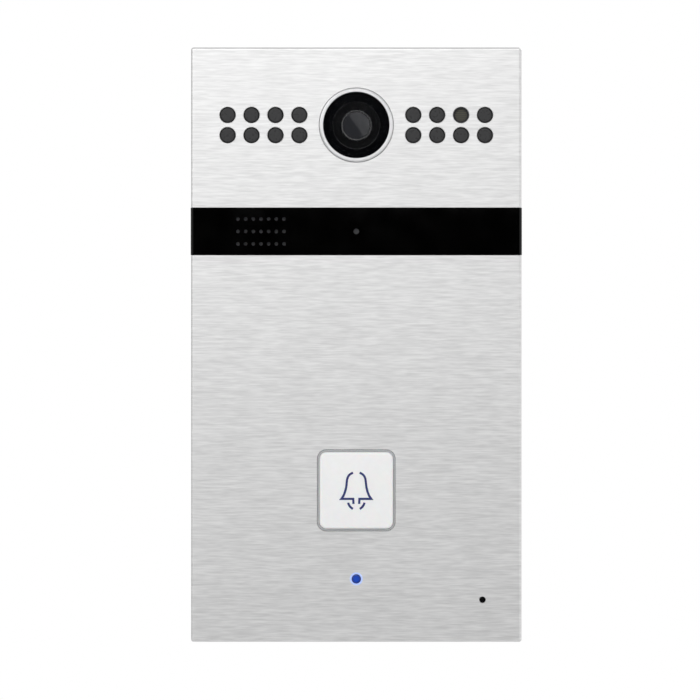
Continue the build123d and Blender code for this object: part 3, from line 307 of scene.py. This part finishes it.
def turned(outline, x, z, sides, ring):
    """A piece turned about a line along Y, in edit mode: each step of the outline is one extrusion."""
    begin()
    radius, y = outline[0]
    bpy.ops.mesh.primitive_circle_add(vertices=sides, radius=radius, location=(x, y, z),
                                      rotation=(math.radians(90), 0, 0))
    bpy.ops.object.transform_apply(location=True, rotation=True, scale=True)
    bpy.ops.object.mode_set(mode="EDIT")
    bpy.ops.mesh.select_mode(type="VERT")
    bpy.ops.mesh.select_all(action="SELECT")
    for (near, here), (far, there) in zip(outline, outline[1:]):
        bpy.ops.mesh.extrude_region_move(TRANSFORM_OT_translate={"value": (0, there - here, 0)})
        bpy.ops.transform.resize(value=(far / near, 1, far / near), center_override=(x, there, z))
    pick(bpy.context.object, edges=lambda edge: edge.is_boundary)
    if ring:
        bpy.ops.mesh.bridge_edge_loops()
    else:
        bpy.ops.mesh.fill_holes(sides=0)
    bpy.ops.mesh.select_all(action="SELECT")
    bpy.ops.mesh.normals_make_consistent(inside=False)
    return bpy.context.object


def cut(piece, tool):
    """Takes the tool's shape out of the piece, and removes the tool."""
    bpy.ops.object.mode_set(mode="OBJECT")
    bpy.context.view_layer.objects.active = piece
    cutter = piece.modifiers.new("cut", "BOOLEAN")
    cutter.operation, cutter.object, cutter.solver = "DIFFERENCE", tool, "EXACT"
    bpy.ops.object.modifier_apply(modifier="cut")
    bpy.data.objects.remove(tool)


plug_low, plug_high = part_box("terminal_plugs")
poles, pole_pitch = 5, 3.81 * MM
screw_radius, screw_depth, slot_half = 1.2 * MM, 1.2 * MM, 0.2 * MM
first_x = (plug_low.x + plug_high.x) / 2 - (poles - 1) / 2 * pole_pitch
upper_z, lower_z = plug_high.z - 2.1 * MM, plug_low.z + 6.1 * MM
floor_y = plug_high.y - screw_depth
clamp = turned([(screw_radius, floor_y), (screw_radius, floor_y + 0.55 * MM),
                (screw_radius * 0.85, floor_y + 0.7 * MM)], first_x, upper_z, 32, ring=False)
bpy.ops.object.mode_set(mode="OBJECT")
slot_cutter = block((first_x - 2 * MM, floor_y + 0.3 * MM, upper_z - slot_half),
                    (first_x + 2 * MM, floor_y + 2 * MM, upper_z + slot_half))
cut(clamp, slot_cutter)
settle("clamp_screw", zinc)
offsets = [(pole * pole_pitch, 0, level) for pole in range(poles) for level in (0, lower_z - upper_z)]
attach(copies(clamp, "terminal_clamp_screws", offsets), "root")

# ---------------------------------------------------------------- tamper switch
# A grey nylon pin that the wall holds in, and the drawn steel spring that pushes it out. The pin is moulded
# and slightly waxy, and the drawn wire is smooth and bright.

dress(grained("grey_nylon", "#6E7173", "#808385", 0.6, (0.38, 0.48), bump=0.008), "tamper_plunger")
dress(grained("drawn_spring_wire", "#85878A", "#9C9EA1", 0.2, (0.25, 0.35), Metallic=1.0), "tamper_spring")

# ---------------------------------------------------------------- speaker and microphone
# A small sealed loudspeaker stands behind the band's holes, with a fine grey cloth in front against dust.
# The microphone is a black capsule in a rubber boot, behind one small hole in the lower faceplate.

def wave_scale(period):
    """The Wave texture's scale that gives one wave in each period."""
    return math.pi / (10 * period)


def woven_cloth():
    """Plain weave with a thread every 0.3 mm, which dulls the holes to an even soft grey."""
    made, shader = new_finish("grey_acoustic_cloth", Sheen_Weight=0.2)
    place = add(made, "TexCoord").outputs["Object"]
    thread = 0.3 * MM
    across = add(made, "TexWave", {"Vector": place, "Scale": wave_scale(thread)}, bands_direction="X")
    along = add(made, "TexWave", {"Vector": place, "Scale": wave_scale(thread)}, bands_direction="Z")
    weave = add(made, "Math", {0: across.outputs[1], 1: along.outputs[1]}, operation="MULTIPLY")
    tone = add(made, "Mix", {0: weave.outputs[0], 6: linear("#6C6E72"), 7: linear("#A4A6AA")},
               data_type="RGBA")
    relief = add(made, "Bump", {"Height": weave.outputs[0], "Distance": 0.05 * MM})
    wire = made.node_tree.links.new
    wire(tone.outputs[2], shader.inputs["Base Color"])
    wire(relief.outputs[0], shader.inputs["Normal"])
    shader.inputs["Roughness"].default_value = 0.9
    return made


dress(woven_cloth(), "speaker_mesh")

# pressed film, smooth and softly glossy
dress(grained("polyester_film", "#27282A", "#343538", 2.0, (0.3, 0.4)), "speaker_cone")
dress(black_anodised, "microphone")

# ---------------------------------------------------------------- camera
# A wide-angle lens in a black barrel, behind a flat cover glass that has a printed black border. A low ring,
# turned from aluminium and given the same satin finish as the faceplate, frames the glass.

ring_low, ring_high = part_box("camera_trim_ring")
camera_x, camera_z = (ring_low.x + ring_high.x) / 2, (ring_low.z + ring_high.z) / 2
ring_outer = (ring_high.x - ring_low.x) / 2
face_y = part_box("upper_faceplate")[0].y
glass_low, glass_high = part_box("camera_cover_glass")
glass_radius = (glass_high.x - glass_low.x) / 2
ring_inner = glass_radius + 0.05 * MM

# the barrel's steps are painted to swallow light, so they are almost black from any side
matt_black = grained("matt_black_baffles", "#020202", "#040404", 0.4, (0.6, 0.75), Specular_IOR_Level=0.1)
dress(matt_black, "lens_barrel")

# bare silicon is a glossy dark violet, and the filters are tinted polished glass
dress(grained("image_sensor_die", "#2A2440", "#3D3560", 0.3, (0.08, 0.15)), "image_sensor")
dress(grained("filter_glass", "#7FA9B6", "#9AC1CC", 2.0, (0.03, 0.06)), "shuttle_filters")

# satin anodising: pale grey, with a broad soft highlight and no streaks
satin = grained("satin_anodised_aluminium", "#D6D7D8", "#E4E4E5", 1.5, (0.4, 0.45), bump=0.001,
                Metallic=1.0)
crown, lip, slope_width, slope_drop = ring_low.y, 0.12 * MM, 0.45 * MM, 0.17 * MM
inner_edge, outer_edge = 0.03 * MM, 0.08 * MM
outline = [(ring_inner, ring_high.y), (ring_inner, crown + 0.1 * MM),
           (ring_inner + inner_edge, crown + inner_edge),
           (ring_inner + 0.1 * MM, crown), (ring_outer - slope_width, crown),
           (ring_outer - outer_edge, crown + slope_drop), (ring_outer, crown + slope_drop + outer_edge),
           (ring_outer + 0.02 * MM, face_y + lip), (ring_outer, ring_high.y)]
turned(outline, camera_x, camera_z, 160, ring=True)
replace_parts(settle("camera_ring_buffed", satin, angle=12.0), "camera_trim_ring")


def cover_glass():
    """Clear glass with an anti-reflection coating, so little shows on it but a faint sheen."""
    made, shader = new_finish("coated_cover_glass", Alpha=0.10, IOR=1.2)
    place = add(made, "TexCoord").outputs["Object"]
    haze = add(made, "TexNoise", {"Vector": place, "Scale": 1 / (6 * MM), "Detail": 2.0})
    tone = add(made, "Mix", {0: haze.outputs[0], 6: linear("#0B0C10"), 7: linear("#14161C")},
               data_type="RGBA")
    gloss = add(made, "MapRange", {"Value": haze.outputs[0], "To Min": 0.02, "To Max": 0.05})
    made.node_tree.links.new(tone.outputs[2], shader.inputs["Base Color"])
    made.node_tree.links.new(gloss.outputs[0], shader.inputs["Roughness"])
    return made


border_depth, glass_round, pole = 0.1 * MM, 0.25 * MM, 0.2 * MM
turned([(pole, glass_high.y - border_depth), (glass_radius, glass_high.y - border_depth),
        (glass_radius, glass_low.y + glass_round), (glass_radius - 0.07 * MM, glass_low.y + 0.07 * MM),
        (glass_radius - glass_round, glass_low.y), (pole, glass_low.y)], camera_x, camera_z, 128, ring=False)
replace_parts(settle("cover_glass_clear", cover_glass()), "camera_cover_glass")

# ink on the back of the glass: the deepest black on the panel, with no gloss of its own
printed_black = grained("screen_printed_black", "#030303", "#060607", 0.5, (0.25, 0.35),
                        Specular_IOR_Level=0.0)
border_inner, border_outer, ink_front = 7.75 * MM, glass_radius - 0.02 * MM, glass_high.y - border_depth * 0.9
turned([(border_inner, glass_high.y), (border_inner, ink_front), (border_outer, ink_front),
        (border_outer, glass_high.y)], camera_x, camera_z, 128, ring=True)
settle("cover_glass_border", printed_black)


def lens_glass():
    """Coated lens: dark inside, with a cool grey bloom, and a coating that leaves little reflection."""
    made, shader = new_finish("coated_lens_glass", Roughness=0.05, IOR=1.3)
    place = add(made, "TexCoord").outputs["Object"]
    bloom = add(made, "TexNoise", {"Vector": place, "Scale": 1 / (3 * MM), "Detail": 1.0})
    tone = add(made, "Mix", {0: bloom.outputs[0], 6: linear("#1C1D20"), 7: linear("#25262A")},
               data_type="RGBA")
    made.node_tree.links.new(tone.outputs[2], shader.inputs["Base Color"])
    return made


lens_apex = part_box("lens_elements")[0].y
lens_radius, lens_edge, lens_back = 4.95 * MM, lens_apex + 1.1 * MM, lens_apex + 3.1 * MM
curve = (lens_radius ** 2 + (lens_edge - lens_apex) ** 2) / (2 * (lens_edge - lens_apex))
rings, lens_pole = 14, 0.1 * MM
outline = [(lens_pole, lens_back), (lens_radius, lens_back)]
for ring in range(rings):
    radius = lens_radius * (1 - ring / rings) + lens_pole * ring / rings
    outline.append((radius, lens_apex + curve - math.sqrt(curve ** 2 - radius ** 2)))
turned(outline, camera_x, camera_z, 96, ring=False)
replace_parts(settle("lens_front_dome", lens_glass()), "lens_elements")


def bead(name, material, radius, thickness, y):
    """A rounded ring about the lens's axis, of one thickness."""
    points = 12
    section = [(radius + thickness / 2 * math.cos(angle), y - thickness / 2 * math.sin(angle))
               for angle in (2 * math.pi * point / points for point in range(points))]
    turned(section, camera_x, camera_z, 96, ring=True)
    return settle(name, material)


# a thin black lacquer that keeps a soft line of light on each rounded edge
satin_black = grained("satin_black_lacquer", "#050505", "#0B0B0C", 0.5, (0.24, 0.3), IOR=1.55)
bead("lens_retaining_ring", satin_black, 4.62 * MM, 0.9 * MM, lens_edge)
bead("barrel_front_rim", satin_black, 7.5 * MM, 0.26 * MM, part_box("lens_barrel")[0].y)

# ---------------------------------------------------------------- infrared windows and light sensor
# Smoked polycarbonate bosses stand in the faceplate's holes and hide the lamps behind them. One hole has a
# photoresistor instead: a small ceramic disc with a zigzag track, in a black collar that shuts out the
# light of the lamps beside it.

# dyed almost black, with painted shade round the rim: the colour darkens where the rounded edge turns away
# from the view, standing in for the shade of the recess in the hole
smoked = grained("smoked_polycarbonate", "#2B2B2C", "#323233", 0.9, (0.25, 0.35), Specular_IOR_Level=0.3)
smoked_colour = smoked.node_tree.nodes["Principled BSDF"].inputs["Base Color"]
# painted shade: the Layer Weight's facing value mixes the rim towards near black
slant = add(smoked, "LayerWeight", {"Blend": 0.75})
painted_rim_shade = add(smoked, "Mix", {0: slant.outputs["Facing"], 6: smoked_colour.links[0].from_socket,
                               7: linear("#0C0C0C")}, data_type="RGBA")
smoked.node_tree.links.new(painted_rim_shade.outputs[2], smoked_colour)
dress(smoked, "infrared_windows")

# water-clear epoxy, cast and glossy
dress(grained("clear_lamp_epoxy", "#B9C0C8", "#D5DAE0", 1.5, (0.05, 0.1)), "infrared_leds")


def photoresistor():
    """Olive cadmium sulphide with a zigzag track of 0.7 mm pitch."""
    made, shader = new_finish("photoresistor_face", Roughness=0.5, Coat_Weight=0.3, Coat_Roughness=0.3)
    place = add(made, "TexCoord").outputs["Object"]
    pitch = 0.7 * MM
    track = add(made, "TexWave", {"Vector": place, "Scale": wave_scale(pitch), "Distortion": 1.2,
                                  "Detail": 1.0}, bands_direction="Z")
    line = add(made, "MapRange", {"Value": track.outputs[1], "From Min": 0.45, "From Max": 0.55})
    tone = add(made, "Mix", {0: line.outputs[0], 6: linear("#1B1A0D"), 7: linear("#37341D")},
               data_type="RGBA")
    made.node_tree.links.new(tone.outputs[2], shader.inputs["Base Color"])
    return made


dress(photoresistor(), "light_sensor")
disc_low, disc_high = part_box("light_sensor")
sensor_x, sensor_z = (disc_low.x + disc_high.x) / 2, (disc_low.z + disc_high.z) / 2
collar_inner, collar_outer, collar_edge = 1.95 * MM, 2.45 * MM, 0.1 * MM
collar_front = disc_low.y - 0.7 * MM
turned([(collar_inner, disc_low.y), (collar_inner, collar_front + collar_edge),
        (collar_inner + collar_edge, collar_front), (collar_outer, collar_front),
        (collar_outer, disc_low.y)], sensor_x, sensor_z, 64, ring=True)
settle("light_sensor_collar", moulded_rubber)

# ---------------------------------------------------------------- call button
# A hollow cap of translucent white polycarbonate with softly rounded edges, held by a flange behind the
# casing's wall. Its silicone seal springs it back, and a bell is pad printed on its face in dark blue.

# carbon-filled rubber is matt black, the diffuser milky, and the print a dense flat ink
dress(grained("conductive_rubber", "#0E0E0E", "#171717", 0.3, (0.6, 0.7)), "contact_pill")
dress(grained("opal_diffuser", "#E6E6E0", "#F4F4F0", 1.2, (0.3, 0.4)), "button_diffuser", "button_lamps")
dress(grained("dark_blue_pad_print", "#1A2462", "#25306E", 0.3, (0.35, 0.45)), "bell_icon")

# milky white that light sinks into a little, with a smooth moulded gloss
cap_white = grained("opal_white_polycarbonate", "#F3F3F3", "#F5F5F5", 1.5, (0.3, 0.36), Subsurface_Weight=0.2,
                    Subsurface_Scale=1.5 * MM)
cap_low, cap_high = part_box("call_button")
flange_thickness, flange_reach, flange_corner = 1.0 * MM, 1.8 * MM, 4.0 * MM
cap_round, cap_wall, cavity_depth, post_inset = 0.9 * MM, 1.6 * MM, 4.0 * MM, 6.6 * MM
cap = block((cap_low.x, cap_high.y - flange_thickness, cap_low.z), cap_high)
pick(cap, edges=lambda edge: abs((edge.verts[0].co - edge.verts[1].co).y) > 0.5 * MM)
bpy.ops.mesh.bevel(offset=flange_corner, segments=10)
pick(cap, faces=front_face)
bpy.ops.mesh.inset(thickness=flange_reach)
bpy.ops.mesh.extrude_region_move(TRANSFORM_OT_translate={
    "value": (0, cap_low.y - (cap_high.y - flange_thickness), 0)})
pick(cap, edges=lambda edge: all(v.co.y < cap_low.y + 0.01 * MM for v in edge.verts))
bpy.ops.mesh.bevel(offset=cap_round, segments=6)
pick(cap, faces=back_face)
bpy.ops.mesh.inset(thickness=flange_reach + cap_wall)
bpy.ops.mesh.extrude_region_move(TRANSFORM_OT_translate={"value": (0, -cavity_depth, 0)})
bpy.ops.mesh.inset(thickness=post_inset)
bpy.ops.mesh.extrude_region_move(TRANSFORM_OT_translate={"value": (0, cavity_depth, 0)})
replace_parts(settle("call_button_cap", cap_white, body="call_button"), "call_button")


# moulded silicone is soft, matt and slightly translucent; the dome folds as the button goes in
silicone = grained("grey_silicone", "#84888A", "#93979A", 1.0, (0.55, 0.65), bump=0.01)
begin()
seal = bpy.data.objects.new("silicone_seal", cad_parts["button_seal"].data.copy())
bpy.context.scene.collection.objects.link(seal)
seal.select_set(True)
bpy.context.view_layer.objects.active = seal
bpy.ops.object.mode_set(mode="EDIT")
bpy.ops.mesh.select_all(action="SELECT")
bpy.ops.mesh.remove_doubles(threshold=0.001 * MM)
settle("button_seal_dome", silicone)
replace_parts(seal, "button_seal")
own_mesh(seal)


def rounded_block(low, high, corner):
    """A box whose four edges along Y are rounded."""
    made = block(low, high)
    pick(made, edges=lambda edge: abs((edge.verts[0].co - edge.verts[1].co).normalized().y) > 0.9)
    bpy.ops.mesh.bevel(offset=corner, segments=8)
    return made


liner_low, liner_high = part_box("button_surround")
liner_corner, hole_corner, liner_gap, liner_lip = 2.85 * MM, 2.3 * MM, 0.07 * MM, 0.12 * MM
cap_middle = (cap_low + cap_high) / 2
key_hole = Vector(((cap_high.x - cap_low.x) / 2 - flange_reach + liner_gap, 1 * MM,
                   (cap_high.z - cap_low.z) / 2 - flange_reach + liner_gap))
liner_middle = Vector((cap_middle.x, (liner_low.y + liner_high.y) / 2, cap_middle.z))
liner = rounded_block(liner_low, liner_high, liner_corner)
bpy.ops.object.mode_set(mode="OBJECT")
cut(liner, rounded_block(liner_middle - key_hole, liner_middle + key_hole, hole_corner))
bpy.ops.object.mode_set(mode="EDIT")
pick(liner, edges=lambda edge: all(v.co.y < liner_low.y + 0.01 * MM for v in edge.verts) and edge.is_manifold
     and abs(edge.calc_face_angle(0)) > 1)
bpy.ops.mesh.bevel(offset=liner_lip, segments=3)
# moulded grey plastic, dull so that the gap looks like a soft shadow round the cap
grey_liner = grained("grey_moulded_liner", "#B4B6B8", "#C2C4C6", 0.5, (0.5, 0.65), bump=0.01)
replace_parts(settle("button_liner", grey_liner), "button_surround")

# ---------------------------------------------------------------- sensor window and status light
# Two light pipes, pushed in from behind: a nearly black, glossy one in the band for the proximity sensor, and
# a clear one lit blue below the button. The lit one has a frosted rim that glows faintly.

dress(grained("dark_sensor_window", "#2B2C2E", "#343537", 0.6, (0.1, 0.2)), "sensor_lens")


def lit_blue():
    """Clear plastic lit from behind: deep blue at the rim and brighter over the lamp."""
    made, shader = new_finish("clear_light_pipe_lit_blue", Roughness=0.15)
    place = add(made, "TexCoord").outputs["Object"]
    low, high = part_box("status_light_pipe")
    middle, radius = (low + high) / 2, 1.6 * MM
    centred = add(made, "Mapping", {"Vector": place, "Scale": (1 / radius, 0.0, 1 / radius),
                                    "Location": (-middle.x / radius, 0.0, -middle.z / radius)})
    fall = add(made, "TexGradient", {"Vector": centred.outputs[0]}, gradient_type="SPHERICAL")
    lit = add(made, "MapRange", {"Value": fall.outputs[1], "From Min": 0.1, "From Max": 0.6})
    tone = add(made, "Mix", {0: lit.outputs[0], 6: linear("#0C2468"), 7: linear("#1F48B4")},
               data_type="RGBA")
    wire = made.node_tree.links.new
    wire(tone.outputs[2], shader.inputs["Base Color"])
    wire(tone.outputs[2], shader.inputs["Emission Color"])
    shader.inputs["Emission Strength"].default_value = 0.12
    return made


dress(lit_blue(), "status_light_pipe")
pipe_low, pipe_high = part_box("status_light_pipe")
pipe_x, pipe_z = (pipe_low.x + pipe_high.x) / 2, (pipe_low.z + pipe_high.z) / 2
rim_inner, rim_seat, rim_outer = 1.51 * MM, 1.59 * MM, 2.08 * MM
# frosted plastic scatters a little of the light, so it is a pale blue
glow = grained("frosted_light_pipe_rim", "#A9BDF0", "#BCCDF5", 0.4, (0.5, 0.6), Emission_Strength=0.25)
glow.node_tree.nodes["Principled BSDF"].inputs["Emission Color"].default_value = linear("#9FB8FF")
turned([(rim_inner, face_y + 0.2 * MM), (rim_inner, face_y - 0.04 * MM),
        (rim_inner + 0.11 * MM, face_y - 0.09 * MM), (rim_outer - 0.1 * MM, face_y - 0.06 * MM),
        (rim_outer, face_y + 0.05 * MM), (rim_seat, face_y + 0.2 * MM)], pipe_x, pipe_z, 64, ring=True)
settle("status_light_rim", glow)

# ---------------------------------------------------------------- band
# A strip of high-gloss black acrylic that wraps round both sides, with drilled speaker holes. It is cast and
# polished, so it has no texture and mirrors what is in front. Foam tape behind it holds it on.

gloss_black = grained("high_gloss_black_acrylic", "#010101", "#030303", 8.0, (0.03, 0.06),
                      Specular_IOR_Level=0.3)
dress(gloss_black, "front_band")
dress(grained("foam_tape", "#29292A", "#353536", 0.4, (0.8, 0.9), bump=0.03), "adhesive_strips")

# ---------------------------------------------------------------- faceplates
# 1.5 mm aluminium sheet, brushed along its width with an abrasive belt, folded back on its sides and then
# clear anodised. The belt leaves streaks a few millimetres long that catch the light above and below.

def brushed_aluminium():
    """Streaks 4 to 11 mm long and 0.5 to 0.7 mm high, which run on round the folded sides.

    The real ones are finer than that, and these are drawn as coarse as they need to be to show.
    """
    made, shader = new_finish("belt_brushed_aluminium", Metallic=1.0)
    place = add(made, "TexCoord")
    facing = add(made, "SeparateXYZ", {0: place.outputs["Normal"]})
    upward = add(made, "Math", {0: facing.outputs["Z"]}, operation="ABSOLUTE")
    ends = add(made, "Math", {0: upward.outputs[0], 1: 0.7}, operation="GREATER_THAN")
    quarter_turn = (math.radians(90), 0, 0)
    upended = add(made, "Mapping", {"Vector": place.outputs["Object"], "Rotation": quarter_turn})
    brushing = add(made, "Mix", {0: ends.outputs[0], 4: place.outputs["Object"], 5: upended.outputs[0]},
                   data_type="VECTOR")
    layers = []
    for length, height, detail in ((11.0, 0.72, 2.0), (4.5, 0.45, 1.0)):
        scaled = add(made, "Mapping", {"Vector": brushing.outputs[1],
                                       "Scale": (1 / (length * MM), 1 / (length * MM), 1 / (height * MM))})
        noise = add(made, "TexNoise", {"Vector": scaled.outputs[0], "Scale": 1.0, "Detail": detail})
        layers.append(noise.outputs[0])
    streak = add(made, "Mix", {0: 0.5, 2: layers[0], 3: layers[1]})
    level = add(made, "MapRange", {"Value": streak.outputs[0], "From Min": 0.34, "From Max": 0.66})
    tone = add(made, "Mix", {0: level.outputs[0], 6: linear("#D7D7D7"), 7: linear("#EBEBEB")},
               data_type="RGBA")
    gloss = add(made, "MapRange", {"Value": level.outputs[0], "To Min": 0.39, "To Max": 0.42})
    relief = add(made, "Bump", {"Height": streak.outputs[0], "Strength": 0.3, "Distance": 0.02 * MM})
    wire = made.node_tree.links.new
    wire(tone.outputs[2], shader.inputs["Base Color"])
    wire(gloss.outputs[0], shader.inputs["Roughness"])
    wire(relief.outputs[0], shader.inputs["Normal"])
    return made


dress(brushed_aluminium(), "upper_faceplate", "lower_faceplate")

# ---------------------------------------------------------------- studio
# A pale card floor well below the panel, and pale surroundings with a dark patch straight ahead, which is
# what the gloss band mirrors. A broad card above the line of sight, to the left, lights the metal from the
# top, and another lights the right-hand edges.

floor_radius, floor_z = 1.1, -0.42
begin()
bpy.ops.mesh.primitive_circle_add(vertices=96, radius=floor_radius, location=(0, 0, floor_z),
                                  fill_type="NGON")
stage_floor = bpy.context.object
stage_floor.name = "studio_floor"
stage_floor.data.materials.append(grained("matt_white_card", "#E8E8E8", "#F0F0F0", 3.0, (0.85, 0.95)))


def surroundings():
    """White as a backdrop. As light it is a soft grey, paler above, and dark straight ahead of the face."""
    world = bpy.data.worlds.new("studio_surroundings")
    bpy.context.scene.world = world
    world.use_nodes = True
    world.node_tree.nodes.clear()
    towards = add(world, "TexCoord").outputs["Generated"]
    lean = add(world, "VectorMath", {0: towards, 1: (0.05, 0.0, 0.11)}, operation="DOT_PRODUCT")
    parts = add(world, "SeparateXYZ", {0: towards})
    ahead = add(world, "MapRange", {"Value": parts.outputs["Y"], "From Min": -0.9985, "From Max": -0.985})
    level = add(world, "Math", {0: lean.outputs["Value"], 1: 0.605}, operation="ADD")
    strength = add(world, "Math", {0: level.outputs[0], 1: ahead.outputs[0]}, operation="MULTIPLY")
    lighting = add(world, "Background", {"Color": (1, 1, 1, 1), "Strength": strength.outputs[0]})
    backdrop = add(world, "Background", {"Color": (1, 1, 1, 1), "Strength": 1.0})
    path = add(world, "LightPath")
    both = add(world, "MixShader", {0: path.outputs["Is Camera Ray"], 1: lighting.outputs[0],
                                    2: backdrop.outputs[0]})
    add(world, "OutputWorld", {"Surface": both.outputs[0]})


surroundings()


def soft_box(name, place, aim, size, brightness):
    """A rectangular light with an even face. At a brightness of 1, a mirror would show it as plain white."""
    bpy.ops.object.light_add(type="AREA", location=place)
    lamp = bpy.context.object
    lamp.name = name
    lamp.data.shape, lamp.data.size, lamp.data.size_y = "RECTANGLE", size[0], size[1]
    lamp.data.energy = brightness * math.pi * size[0] * size[1]
    lamp.rotation_euler = (Vector(aim) - Vector(place)).to_track_quat("-Z", "Y").to_euler()
    return lamp


overhead_x, overhead_z = -0.63, 0.495
overhead = soft_box("card_above", (overhead_x, face_y - 0.9, overhead_z), (overhead_x, 0, overhead_z),
                    (1.7, 0.84), 1.31)
soft_box("card_right", (0.9, face_y - 0.45, 0.1), (0, face_y, 0), (0.9, 0.9), 0.45)
soft_box("soft_light_behind", (0.5, 0.9, 0.5), (0, 0, 0), (0.5, 0.5), 5.0)

# the lens and its rim are lit by a card of their own, to the upper right, whose edge crosses the lens
card_size, card_distance, card_turn = 0.9, 0.5, math.radians(35)
towards_card = Vector((math.cos(card_turn), 0, math.sin(card_turn)))
card_place = Vector((camera_x, face_y - card_distance, camera_z)) + towards_card * (card_size / 2 + 10 * MM)
lens_card = soft_box("lens_card", card_place, card_place + Vector((0, 1, 0)), (card_size, card_size), 2.6)
lens_card.rotation_euler.rotate_axis("Z", card_turn)
lens_only = bpy.data.collections.new("lit_by_lens_card")
not_lens = bpy.data.collections.new("not_lit_by_card_above")
for name in ("lens_front_dome", "lens_retaining_ring"):
    lens_only.objects.link(bpy.data.objects[name])
    not_lens.objects.link(bpy.data.objects[name])
lens_card.light_linking.receiver_collection = lens_only
overhead.light_linking.receiver_collection = not_lens
for link in not_lens.collection_objects:
    link.light_linking.link_state = "EXCLUDE"

focal_length, distance = 300.0, 1.854
view_place = (-2.0 * MM, face_y - distance, -1.7 * MM)
bpy.ops.object.camera_add(location=view_place, rotation=(math.radians(90), 0, 0))
camera = bpy.context.object
camera.data.lens, camera.data.sensor_width = focal_length, 36.0
camera.data.clip_start, camera.data.clip_end = 0.1, 20.0
bpy.context.scene.camera = camera
bpy.context.scene.view_settings.view_transform = "Standard"
